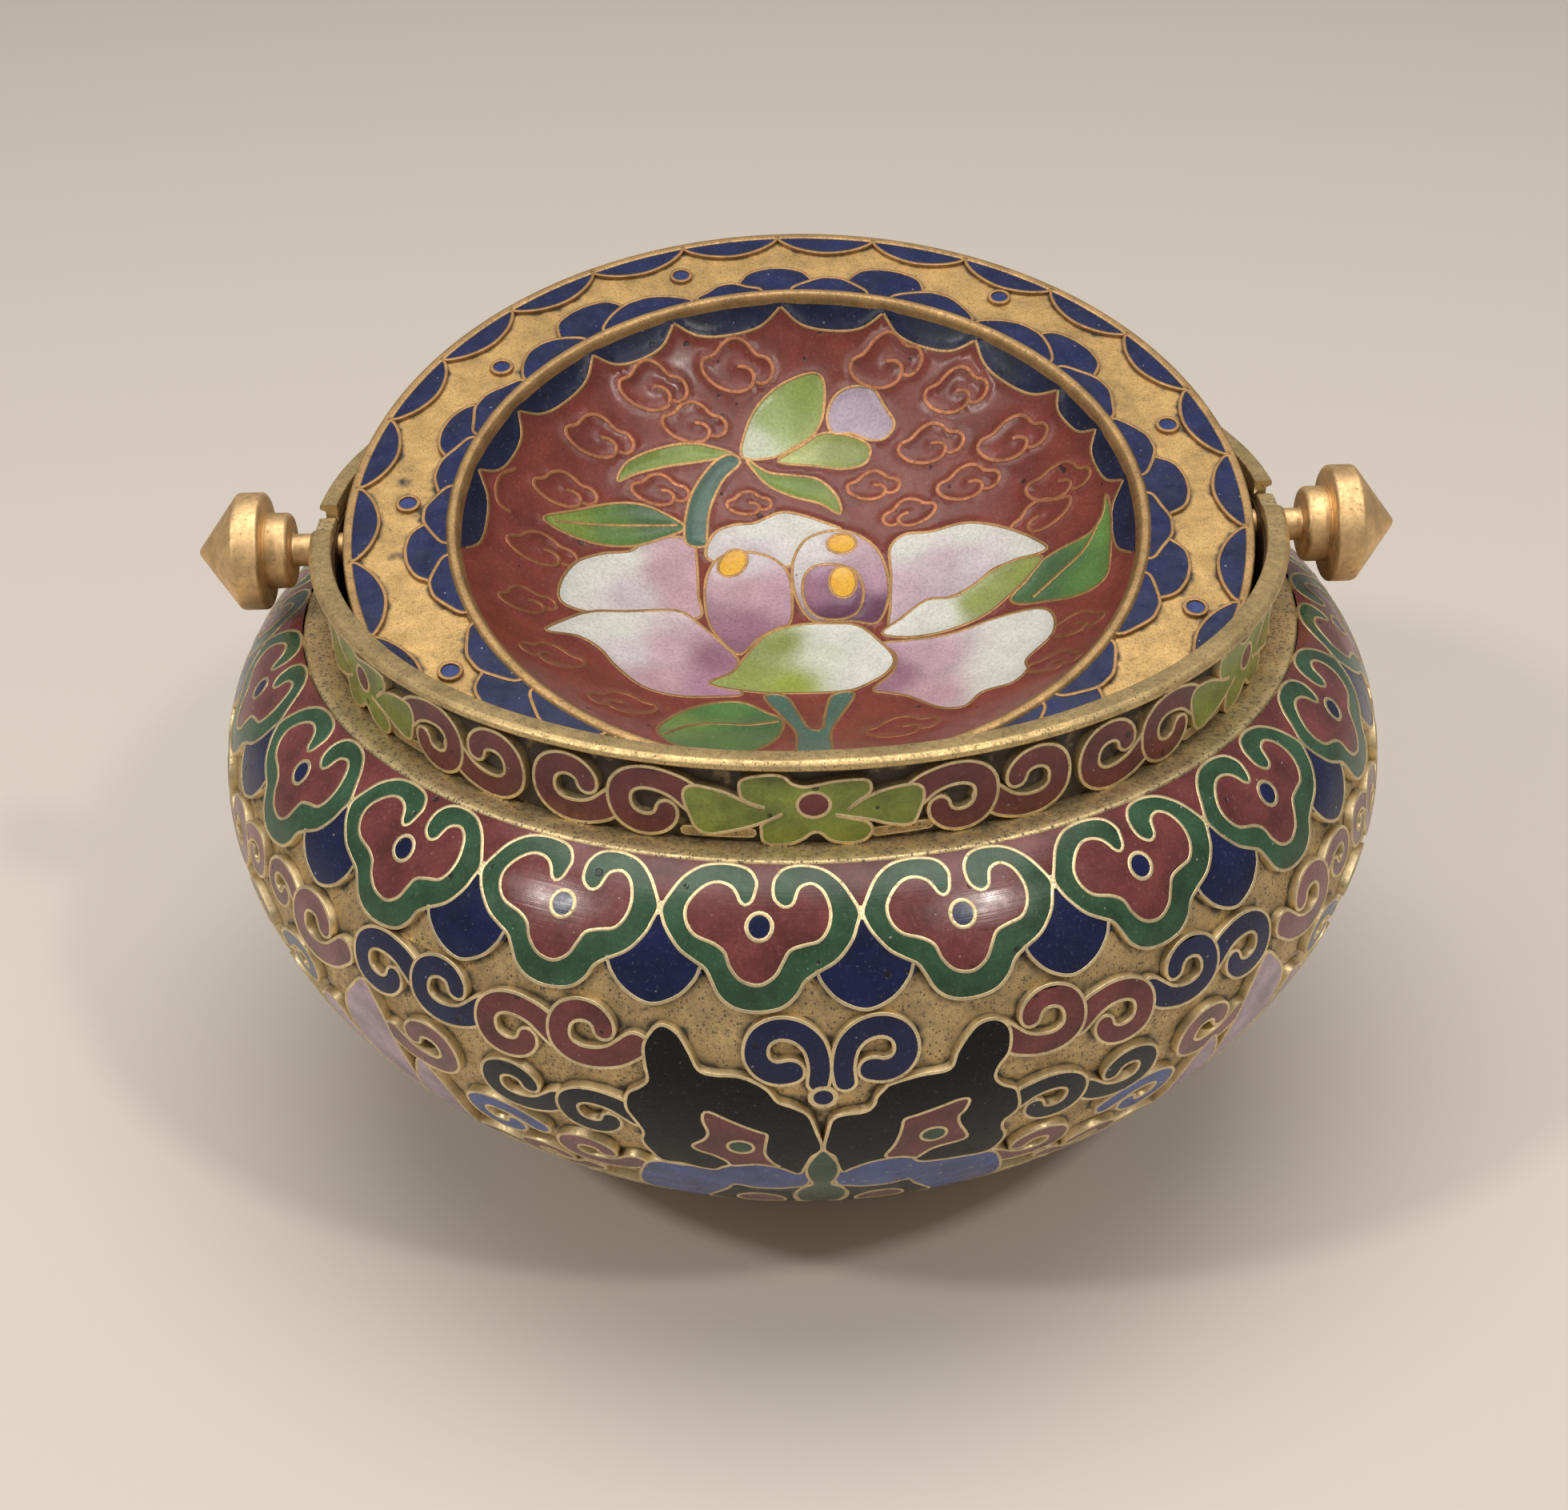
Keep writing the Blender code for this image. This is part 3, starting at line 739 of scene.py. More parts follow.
HEAD_INNER = [
    (2.2, 3.65), (2.95, 3.35), (3.25, 2.6), (3.6, 2.0), (4.6, 1.7), (5.5, 2.15), (6.05, 3), (6.3, 4.2),
    (6, 5.4), (5.2, 6.3), (3.9, 6.6), (2.7, 7), (2.1, 7.9), (1.4, 9), (.1, 9.7), (-1.4, 9.4), (-2.4, 8.4),
    (-2.9, 7.3), (-3.9, 6.65), (-5.6, 6.1), (-6.5, 5.1), (-6.65, 3.9), (-5.9, 2.7), (-4.8, 1.9),
    (-3.7, 1.75), (-2.7, 2.1), (-2.15, 2.7), (-1.85, 3.25), (-1.35, 3.55),
]
HALF_ROUND = [(0, 4.0), (4.1, 8.5), (3.6, 9.6), (2.2, 11), (0, 11.8), (-2.2, 11), (-3.6, 9.6), (-4.1, 8.5)]

(GROUND_KIND, K_MAROON, K_GREEN, K_NAVY, K_RED, K_BLACK, K_SLATE, K_SKY, K_MAUVE, K_PINK, K_LIME,
 K_GREY) = range(-1, 11)
CELL_PAINTS = [MAROON, GREEN, NAVY, RED_SCROLL, BLACK, SLATE, SKY, MAUVE, PINK, LIME, GREY_BLUE]
BOWL_PAINTS = CELL_PAINTS + [GROUND, LEDGE, INSIDE]
GROUND_PAINT, LEDGE_PAINT, INSIDE_PAINT = range(len(CELL_PAINTS), len(BOWL_PAINTS))


def smooth(points, closed=True):
    """degrees and mm down the belly, as a smooth line in its plane"""
    return curve(BELLY.flat(points), closed)


def patina_shade_near_cells(outlines, reach=0.55, base=0.0):
    """how near each ground point is to a raised cell, as a colour value that darkens the ground there with
    patina and painted shade
    """
    tree = tree_of(np.vstack(outlines))

    def values(plane):
        gap = np.array([tree.find((*p, 0.0))[2] for p in plane])
        near = np.minimum(1.0, base + np.exp(-gap / reach))
        return np.column_stack([near, near, near, np.ones(len(near))])
    return values


def frame_line(left, right, top, bottom):
    """a border with evenly spaced points on its sides"""
    down = np.linspace(top, bottom, int((bottom - top) / CELL_GRID) + 2)
    across = np.linspace(left, right, int((right - left) / CELL_GRID) + 2)
    ring = [(left, v) for v in down[::-1]] + [(u, top) for u in across[1:]]
    ring += [(right, v) for v in down[1:]] + [(u, bottom) for u in across[::-1][1:-1]]
    return np.array(ring)


def lay(cells, wires, place, border, regions, lines, turns, ground_patina_shade):
    """Cut a panel once and lay it at each turn. lines are (line, closed, width, depth)."""
    made = cut(border, regions)
    kinds = [kind for kind in set(made[2].tolist()) if kind >= 0]
    for turn in turns:
        shift = turn * place.degree
        for kind in kinds:
            cells.add_cut(place, made, -ENAMEL_INSET, {kind: kind}, shift=shift)
        # the ground's values darken it near the cells with patina and painted shade
        cells.add_cut(place, made, -GROUND_DEPTH, {GROUND_KIND: GROUND_PAINT}, ground_patina_shade, shift)
        for line, closed, width, depth in lines:
            wire(wires, place, line, closed, width, WIRE_RISE, depth, shift=shift)


def band_panel():
    """one cloud head, with the half rounds at its sides"""
    half = HEAD_PITCH / 2
    head = smooth(HEAD_OUTER + HEAD_INNER)
    whole = smooth(HEAD_OUTER)
    dot = oval((0.0, 5.2), 0.95, 0.95)
    ring = oval((0.0, 5.2), 1.08, 1.08)
    sides = [smooth([(x + side, y) for x, y in HALF_ROUND]) for side in (-half, half)]
    top = np.array([(-half * DEGREE - 1, -1), (half * DEGREE + 1, -1), (half * DEGREE + 1, 4.3),
                    (-half * DEGREE - 1, 4.3)], float)
    regions = [(top, K_MAROON)] + [(s, K_NAVY) for s in sides]
    regions += [(whole, K_MAROON), (head, K_GREEN), (dot, K_NAVY)]
    lines = [(head, True, WIRE_WIDTH, DEEP_WIRE), (ring, True, 0.38, SHALLOW_WIRE)]
    under = smooth([(x + half, y) for x, y in HALF_ROUND[1:]], closed=False)
    lines.append((under, False, WIRE_WIDTH, DEEP_WIRE))
    joint = smooth([(half, 3.7), (half, 4.2), (half, 4.8)], closed=False)
    lines.append((joint, False, 0.5, SHALLOW_WIRE))
    border = frame_line(-half * DEGREE, half * DEGREE, 0.0, BAND_END)
    return border, regions, lines, patina_shade_near_cells([head, sides[0], sides[1]])


RIGHT_WING = [
    (.1, 26.7), (.4, 24), (.75, 22.4), (1.75, 21.8), (3.5, 21.6), (4.25, 20.8), (4.4, 20), (5, 19.2),
    (5.5, 18.7), (8, 18.1), (10, 18), (10.75, 17.6), (11.1, 16.4), (12, 15), (13, 14.1), (14.25, 13.9),
    (15.25, 14.4), (15.75, 15.4), (15.6, 17.2), (14.75, 18.4), (14.5, 19.6), (15.25, 20.6), (16.5, 21.4),
    (17, 22.8), (17.15, 24), (16.75, 24.8), (16, 25.6), (16.1, 26.8), (16.6, 28), (16.5, 29.4), (15.5, 31),
    (13, 31), (10, 30.8), (8.75, 30.4), (8.25, 29.6), (7.25, 29.1), (6, 29.1), (4.25, 29.6), (2.75, 30.6),
    (1.9, 31.4), (1.4, 30), (1, 28),
]
LEFT_WING = [
    (-.1, 26.6), (-.6, 24), (-1.25, 21.8), (-2.5, 20.8), (-3.75, 20.2), (-4.5, 19), (-5.5, 18.2),
    (-7, 17.6), (-9, 17.6), (-10.25, 17.2), (-11, 15.6), (-12, 14), (-13.5, 13.5), (-14.75, 15.2),
    (-14.75, 17.2), (-14.6, 18.8), (-15.5, 19.8), (-16.5, 20.6), (-16.85, 22.4), (-16.25, 24),
    (-15.75, 25.6), (-16.1, 27.2), (-15.5, 29.2), (-14.75, 30.6), (-13, 30.6), (-11.2, 31.2), (-9.9, 31.3),
    (-9.2, 30.6), (-8.2, 30.0), (-6, 29.6), (-3.9, 30.2), (-2.2, 31.6), (-1.6, 30), (-1, 28),
]
RIGHT_EYE = [
    (6.9, 23), (8, 22.6), (10, 21.9), (11.5, 21.4), (12.4, 21.6), (12.15, 22.8), (11.65, 23.6),
    (11.9, 24.8), (12.5, 26), (12.85, 27), (12.25, 27.5), (10.75, 27.8), (9.75, 28.2), (9, 29), (8.5, 29.6),
    (7.25, 29.1), (6, 29), (5.6, 28.4), (6.25, 26.8), (6.6, 25.2), (6.75, 24),
]
LEFT_EYE = [
    (-9.6, 21.7), (-8.5, 22.3), (-7, 23.2), (-5.3, 24.1), (-4.8, 24.4), (-5, 26), (-5.1, 27.6),
    (-4.5, 29.2), (-3.9, 30), (-6, 29.6), (-8.2, 30.1), (-8.7, 29.2), (-9.8, 28.2), (-11, 27.6),
    (-11.5, 26.8), (-10.3, 25.6), (-9.9, 24.5), (-10.2, 23), (-10.1, 22),
]
GOURD = [
    (0, 26.9), (1, 28.5), (1.5, 30.5), (1.35, 32.5), (.95, 34.5), (1.9, 35.8), (2.5, 37.5), (2.6, 40),
    (2.2, 44), (1.2, 48), (0, 50),
]
LOWER_WING = [
    (1.3, 31.9), (2.75, 30.6), (4.25, 29.6), (6, 29.1), (7.25, 29.1), (8.25, 29.6), (8.75, 30.4),
    (10, 30.8), (13, 31), (15.5, 31), (17, 32.5), (19, 38), (19.5, 43), (17, 48), (13, 51), (11.5, 47),
    (12.5, 43), (11, 39.5), (9.5, 37), (8.5, 35.2), (6.5, 36), (4, 36), (2, 35.4), (1.3, 34),
]
DARK_TAIL = [
    (2, 35.4), (4, 36), (6.5, 36), (8.5, 35.2), (9.5, 37), (11, 39.5), (12.5, 43), (11.5, 47), (8, 49.5),
    (4, 49), (2.4, 46), (2.8, 41), (2.7, 38),
]
PETAL_HIGH = [
    (43.5, 18), (45.5, 19.6), (47.4, 22), (48.4, 25), (48.6, 28), (47.5, 32), (45.0, 35.5), (42.6, 32),
    (41.4, 28), (41.4, 24), (42.0, 20.6),
]
PETAL_LOW = [
    (38.6, 25), (40.4, 27.5), (42.4, 31.5), (45.0, 36), (47.2, 39.5), (44.5, 41.5), (41.5, 40.5),
    (38.8, 37), (37.2, 32), (37.2, 28),
]
LOTUS_HEART = [
    (60, 25), (57.0, 27), (54.5, 30.5), (54.0, 34.5), (55.6, 38.5), (60, 40.5), (64.4, 38.5), (66, 34.5),
    (65.5, 30.5), (63.0, 27),
]
LOTUS_SIDE = [
    (54.6, 27), (52.6, 24.6), (50.2, 24.5), (49.2, 28), (48.4, 32.5), (47.4, 36.5), (49.5, 40),
    (53.6, 41.5), (56.0, 40.4), (53.6, 37.5), (52.6, 34), (53.0, 30.2),
]
LOTUS_CUP = [
    (60, 41.6), (56.4, 42.4), (52.4, 44), (50.4, 47), (52.4, 50), (56.0, 52.0), (60, 52.8), (64.0, 52.0),
    (67.6, 50), (69.6, 47), (67.6, 44), (63.6, 42.4),
]

# degrees, mm down, mirrored, flipped, size, colour. Each of the pairs is also mirrored about the front.
SCROLLS = [
    (-20.2, 15.3, 1, -1, 1.0, K_RED), (-27.2, 16.3, 1, 1, 1.0, K_RED), (-34.2, 15.2, 1, -1, 1.0, K_NAVY),
    (-41.3, 15.3, 1, 1, 1.0, K_NAVY), (19.5, 15.1, -1, -1, 1.0, K_RED), (26.4, 16.5, -1, 1, 1.0, K_RED),
    (33.7, 15.1, -1, -1, 1.0, K_NAVY), (40.7, 15.8, -1, 1, 1.0, K_NAVY),
    (20.6, 23.9, -1, 1, 0.98, K_SLATE), (28.0, 23.7, -1, -1, 0.98, K_SLATE),
    (-20.4, 24.0, 1, 1, 0.98, K_SLATE), (-27.7, 23.0, 1, -1, 0.98, K_SLATE),
    (-36.3, 22.3, -1, -1, 0.98, K_MAUVE), (36.5, 23.0, 1, -1, 0.98, K_MAUVE),
    (-31.5, 29.4, 1, 1, 1.0, K_SKY), (31.9, 29.0, -1, 1, 1.0, K_SKY),
    (-22.4, 31.8, 1, -1, 1.02, K_MAUVE), (20.9, 32.0, -1, -1, 1.02, K_MAUVE),
]
SCROLL_PAIRS = [
    (51.0, 16.0, 1, -1, 1.06, K_MAUVE), (57.2, 14.9, 1, 1, 0.72, K_MAUVE),
    (54.4, 21.6, -1, 1, 0.75, K_GREY), (28.6, 36.6, 1, -1, 1.04, K_MAUVE),
    (35.2, 38.6, 1, 1, 1.0, K_SLATE), (24.0, 43.2, 1, 1, 1.0, K_RED),
    (32.5, 45.6, 1, -1, 1.0, K_RED), (41.6, 46.0, 1, 1, 1.0, K_MAUVE),
]
SCROLLS += [(side * turn, down, -side * mirror, flip, size, kind)
            for turn, down, mirror, flip, size, kind in SCROLL_PAIRS for side in (-1, 1)]


WINGS = ((RIGHT_WING, RIGHT_EYE, (9.65, 25.7)), (LEFT_WING, LEFT_EYE, (-7.2, 26.5)))


def sided(points, side):
    """the points, or with side -1 their mirror image"""
    return [(side * x, y) for x, y in points]


def belly_panel():
    """a third of the belly: the butterfly, scrolls from the outside in, and half a lotus at each side"""
    regions, lines = [], []

    def cell(outline, kind, deep=True, width=WIRE_WIDTH):
        regions.append((outline, kind))
        lines.append((outline, width, DEEP_WIRE if deep else SHALLOW_WIRE, len(regions)))

    for turn, down, mirror, flip, size, kind in sorted(SCROLLS, key=lambda scroll: -abs(scroll[0])):
        cell(volute((turn * DEGREE, down), mirror, flip, size), kind)
    for mirror, middle in ((1, 4.7), (-1, -3.3)):
        cell(band(moved(FEELER, (middle * DEGREE, 15.3), -mirror), VOLUTE_WIDTH[::-1]), K_NAVY)
    for side in (1, -1):
        for petal in (PETAL_LOW, PETAL_HIGH, LOTUS_SIDE):
            cell(smooth(sided(petal, side)), K_PINK)
        cell(smooth(sided(LOWER_WING, side)), K_SKY)
        cell(smooth(sided(DARK_TAIL, side)), K_BLACK, deep=False)
        cell(oval((side * 6.5 * DEGREE, 42.0), 2.5, 3.5), K_MAUVE, deep=False)
        heart, cup = smooth(sided(LOTUS_HEART, side)), smooth(sided(LOTUS_CUP, side))
        regions.extend([(heart, K_MAUVE), (cup, K_GREEN)])
        if side > 0:
            lines.extend((line, WIRE_WIDTH, DEEP_WIRE, len(regions)) for line in (heart, cup))
    for wing, eye, middle in WINGS:
        cell(smooth(wing), K_BLACK)
        cell(smooth(eye), K_MAROON, deep=False)
        cell(oval(np.array(middle) * (DEGREE, 1.0), 1.1, 1.0), K_GREEN, deep=False)
    cell(smooth(GOURD + sided(GOURD[1:-1], -1)[::-1]), K_GREEN)
    cell(oval((0.0, 19.7), 1.0, 1.0), K_NAVY, width=0.5)
    half = PANEL_HALF * DEGREE
    border = frame_line(-half, half, BAND_END, LENGTH)
    return border, regions, clipped(lines, regions), patina_shade_near_cells([line for line, _ in regions], 0.6)


def make_band(cells, wires):
    border, regions, lines, near = band_panel()
    turns = [HEAD_TURN + HEAD_PITCH * i for i in range(HEADS)]
    lay(cells, wires, BELLY, border, regions, lines, turns, near)


def make_belly(cells, wires):
    border, regions, lines, near = belly_panel()
    lay(cells, wires, BELLY, border, regions, lines, BELLY_TURNS, near)


# The neck, its ledge, and the bowl's plain inside

FLOWER_HIGH = [
    (-5.2, -1.8), (-7, -1.3), (-7.6, -.9), (-7.8, -.1), (-7.6, .6), (-6.4, 1), (-4.4, 1.2), (-3.2, 1),
    (-2.4, .4), (-1.2, .1), (.4, .3), (2, .54), (4.4, .6), (5.4, .4), (5.7, -.2), (5.4, -.8), (4.4, -1.3),
    (3.3, -2.1),
]
FLOWER_LOW = [
    (2, -2.6), (4.8, -3.2), (5.6, -3.6), (5.8, -4.2), (5.2, -4.9), (4, -5.2), (2.4, -5.1), (1.4, -4.8),
    (.6, -4.2), (0, -4.05), (-.6, -4.2), (-1.4, -4.7), (-2.8, -5.15), (-4.8, -5.2), (-5.5, -4.8),
    (-5.6, -4), (-5.5, -3.3), (-4, -2.6), (-3.4, -2.3),
]
WEDGE_LEFT = [
    (-5.2, -1.8), (-6.4, -1.6), (-9.2, -.6), (-10.8, -.25), (-12.4, -.1), (-13.4, -.4), (-13.7, -1.1),
    (-13.5, -2), (-13, -3), (-12.6, -3.8), (-11.8, -4.35), (-10.8, -4.45), (-9.2, -4.15), (-7.6, -3.8),
    (-6, -3.35), (-3.6, -2.5),
]
WEDGE_RIGHT = [
    (3.3, -2.1), (4, -1.7), (5.2, -1.1), (6.8, -.6), (8.4, -.35), (10, -.3), (10.8, -.5), (11.2, -1),
    (11.2, -1.8), (10.8, -2.8), (10.4, -3.6), (10, -3.9), (9, -3.95), (7.2, -3.6), (5.6, -3.15), (2, -2.5),
]
NECK_SCROLLS = [(24.0, -1, -1), (33.2, 1, -1), (15.4, -1, 1), (42.0, 1, 1)]
NECK_LOW = -5.35
NECK_HIGH = 1.7
NECK_START, NECK_END = -14.8, 45.2
NECK_PITCH = 60.0
NECK_TURNS = [NECK_PITCH * i for i in range(6)]
NEXT_PANELS = (0.0, -NECK_PITCH, NECK_PITCH)
NECK_WIRE = 0.32
BARS = ((-14.0, -6.4), (6.0, 12.2))
BAR_WIDTHS = (0.75, 0.75)
BAR_INSET = 0.35
NECK = Turned(np.array([(NECK_RADIUS, PIN_HEIGHT + 4.0), (NECK_RADIUS, PIN_HEIGHT - 8.0)]),
              np.array([-4.0, 8.0]), math.radians(NECK_RADIUS))


def neck_line(points):
    return curve(np.array(points, float) * (NECK.degree, -1.0), False, 0.25)


def neck_panel():
    """a sixth of the neck: a flower and four scrolls"""
    high, low, left, right = map(neck_line, (FLOWER_HIGH, FLOWER_LOW, WEDGE_LEFT, WEDGE_RIGHT))
    flower = np.vstack([high[::-1], left, low[::-1], right[::-1]])
    heart = oval((-0.2 * NECK.degree, 1.55), 1.7 * NECK.degree, 1.15)
    regions, scrolls = [], []
    for turn, mirror, flip in NECK_SCROLLS:
        for whole in NEXT_PANELS:
            outline = volute(((turn + whole) * NECK.degree, 2.05), mirror, flip, 1.02)
            regions.append((outline, K_RED))
            if not whole:
                scrolls.append((outline, NECK_WIRE, DEEP_WIRE, len(regions)))
    regions.extend((flower + (whole * NECK.degree, 0.0), K_LIME) for whole in NEXT_PANELS)
    lines = [(line, False, 0.3, DEEP_WIRE) for line in (high, low, left, right)]
    lines.append((heart, True, NECK_WIRE, SHALLOW_WIRE))
    lines.extend(clipped(scrolls, regions))
    regions.append((heart, K_RED))
    border = frame_line(NECK_START * NECK.degree, NECK_END * NECK.degree, -NECK_HIGH, -NECK_LOW)
    # the neck's ground is darkened all over and more near the cells: dark patina and painted shade
    return border, regions, lines, patina_shade_near_cells([line for line, _ in regions], 0.8, 0.6)


def make_neck(cells, wires):
    """the neck's panels, and a thin bar over each side of the flowers"""
    border, regions, lines, near = neck_panel()
    lay(cells, wires, NECK, border, regions, lines, NECK_TURNS, near)
    for turn in NECK_TURNS:
        for a, b in BARS:
            bar = band([((a + 0.3) * NECK.degree, 4.5), ((b - 0.3) * NECK.degree, 4.35)], BAR_WIDTHS)
            made = cut(bar, [])
            cells.add_cut(NECK, made, -BAR_INSET, {GROUND_KIND: GROUND_PAINT}, shift=turn * NECK.degree)
            wire(wires, NECK, bar, True, 0.12, 0.03 - BAR_INSET, DEEP_WIRE, shift=turn * NECK.degree)


BAND_CELLS, BAND_WIRES, BOWL_CELLS, BOWL_WIRES = Pile(), Pile(), Pile(), Pile()
make_band(BAND_CELLS, BAND_WIRES)
make_neck(BAND_CELLS, BAND_WIRES)
make_belly(BOWL_CELLS, BOWL_WIRES)
NECK_LIP = [
    (NECK_BORE, NECK_TOP), (NECK_RADIUS - 0.1, NECK_TOP), (NECK_RADIUS - 0.1, NECK_TOP - 0.2),
    (42.75, 57.5), (42.75, 57.0),
]
LEDGE_TOP = [(42.6, 50.6), (44.0, 50.74), (45.2, 50.8), (45.7, 50.74), (45.9, 50.4)]
FOOT = [
    (FOOT_RADIUS + 0.2, PROFILE[-1, 1] + 0.4), (FOOT_RADIUS, 1.2), (FOOT_RADIUS, 0.0), (24.8, 0.0),
    (24.8, 1.6), (24.0, 2.2), (AXIS, 2.2),
]
spin(BOWL_CELLS, rounded(NECK_LIP, 0.1), INSIDE_PAINT, step=1.5)
spin(BOWL_CELLS, rounded(LEDGE_TOP, 0.15), LEDGE_PAINT, step=0.75)
spin(BOWL_CELLS, rounded(FOOT, 0.3), INSIDE_PAINT, step=2.0)


def inner_wall():
    """radius and height of the bowl's inside, from the neck down to the middle of the floor"""
    widest = BODY_RADIUS - WALL
    top = [(NECK_BORE, 50.0), (44.2, 49.2)]
    round_off = shoulder_curve(top[-1], 4.9, widest, 7.0, 24)
    turn = np.linspace(math.pi / 2, 0.0, 60)[1:]
    radius = widest * np.sin(turn)
    share = np.minimum(1.0, radius / widest)
    height = WIDEST - (UNDER_DEPTH - WALL) * (1 - share ** UNDER_POWER) ** (1 / UNDER_POWER)
    height = np.maximum(height, FLOOR_TOP)
    return np.vstack([top, round_off[1:], np.column_stack([radius, height])])


INNER = np.vstack([[(AXIS, FLOOR_TOP)], inner_wall()[::-1], [(NECK_BORE, NECK_TOP)]])
spin(BOWL_CELLS, INNER, INSIDE_PAINT, step=3.0)
BRIDGE_HALF = 1.5


def bridge(pile, side, kind):
    """the block that closes the neck over a pin, between the two half rings"""
    middle, half, foot, top, core = 43.4, 0.8, 50.9, 58.45, 54.7
    section = rounded([(middle, foot), (middle - half, foot), (middle - half, top), (middle + half, top),
                       (middle + half, foot), (middle, foot)], 0.25)
    ahead = unit(np.gradient(section, axis=0))
    sides = np.column_stack([-ahead[:, 1], np.zeros(len(ahead)), ahead[:, 0]]) * (side, 1.0, 1.0)
    rings = [np.column_stack([side * section[:, 0], np.full(len(section), y), section[:, 1]])
             for y in (-BRIDGE_HALF, BRIDGE_HALF)]
    count = len(section)
    faces = [(i, i + 1, count + i + 1, count + i)[::side] for i in range(count - 1)]
    pile.add(np.vstack(rings), np.vstack([sides, sides]), faces, kind)
    for ring, way in zip(rings, (-1.0, 1.0)):
        cap(pile, ring[:-1], (side * middle, ring[0, 1], core), (0.0, way, 0.0), kind)


for side in (-1, 1):
    bridge(BOWL_CELLS, side, LEDGE_PAINT)
# an attribute on these cells darkens the ground near them with patina and painted shade
bowl = BOWL_CELLS.build("bowl_enamel_cells", BOWL_PAINTS, "bowl", "bowl_enamel", "crevice_patina_shade")
BOWL_WIRES.build("bowl_gilt_wires", [WIRE], "bowl", "bowl_enamel")
BAND_CELLS.build("neck_and_band_enamel", BOWL_PAINTS, "bowl", "bowl_enamel", "crevice_patina_shade")
BAND_WIRES.build("neck_and_band_wires", [WIRE], "bowl", "bowl_enamel")
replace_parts(bowl, "bowl_body")


# The rims

def half_rim(name, section, middle, start, end, slot, node):
    """a half ring, a little uneven on top, closed at its two ends"""
    pile = Pile()

    def uneven(points, normals):
        turn = np.arctan2(points[:, 0], -points[:, 1])
        wave = 0.025 * np.sin(5 * turn + 0.4) + 0.02 * np.sin(11 * turn + 1.3) + 0.012 * np.sin(23 * turn)
        top = np.clip((points[:, 2] - 58.2) / 0.5, 0.0, 1.0)
        return points + ((wave - 0.057) * top)[:, None] * (0.0, 0.0, 1.0)

    made = spin(pile, section, 0, start, end, 0.6, swell=uneven)
    for ring, turn, sign in ((made[0], start, -1), (made[-1], end, 1)):
        turn = math.radians(turn)
        here = (middle[0] * math.sin(turn), -middle[0] * math.cos(turn), middle[1])
        cap(pile, ring, here, (sign * math.cos(turn), sign * math.sin(turn), 0.0), 0)
    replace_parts(pile.build(name, [RIM], "bowl", slot), node)


RIM_GAP = 1.85
RIM_TURN = math.degrees(math.acos(RIM_GAP / NECK_RADIUS))
FRONT_RIM = [
    (RIM_RADIUS, 58.3), (RIM_RADIUS, 58.95), (44.1, 58.95), (44.5, 58.6), (44.5, 58.1), (43.45, 58.05),
    (43.45, 57.8), (RIM_RADIUS, 57.8), (RIM_RADIUS, 58.3),
]
REAR_RIM = [
    (RIM_RADIUS, 58.3), (RIM_RADIUS, 59.65), (44.1, 59.65), (44.1, 59.15), (43.6, 59.05), (43.6, 57.8),
    (RIM_RADIUS, 57.8), (RIM_RADIUS, 58.3),
]
half_rim("front_rim_ring", rounded(FRONT_RIM, 0.2), (43.3, 58.4), -RIM_TURN, RIM_TURN, "rim_brass",
         "rim_front")
half_rim("rear_rim_ring", rounded(REAR_RIM, 0.18), (43.0, 58.8), 180 - RIM_TURN, 180 + RIM_TURN,
         "rear_rim_brass", "rim_rear")


# The dish

HOLLOW_CURVE = [(HOLLOW_RADIUS, 3.1), (25.8, -2.6), (17.0, HOLLOW_FLOOR), (0.0, HOLLOW_FLOOR)]
HOLLOW_PROFILE = bezier(*HOLLOW_CURVE, 60)[::-1]
HOLLOW = Dished(np.vstack([HOLLOW_PROFILE, [(31.6, 4.0)]]))
FLAT = Dished(np.array([(0.0, FLANGE), (50.0, FLANGE)]))
FLANGE_GROUND = 0.38
SCALLOPS = 26
SCALLOP_TURN = -1.1

WHITE, ROSE, PLUM = (206, 207, 200), (182, 148, 158), (142, 100, 120)
DARK_PLUM, CREAM, YOLK = (96, 58, 82), (196, 186, 192), (226, 174, 58)
LEAF, DEEP_LEAF, TEAL = (136, 148, 78), (68, 98, 60), (70, 100, 88)

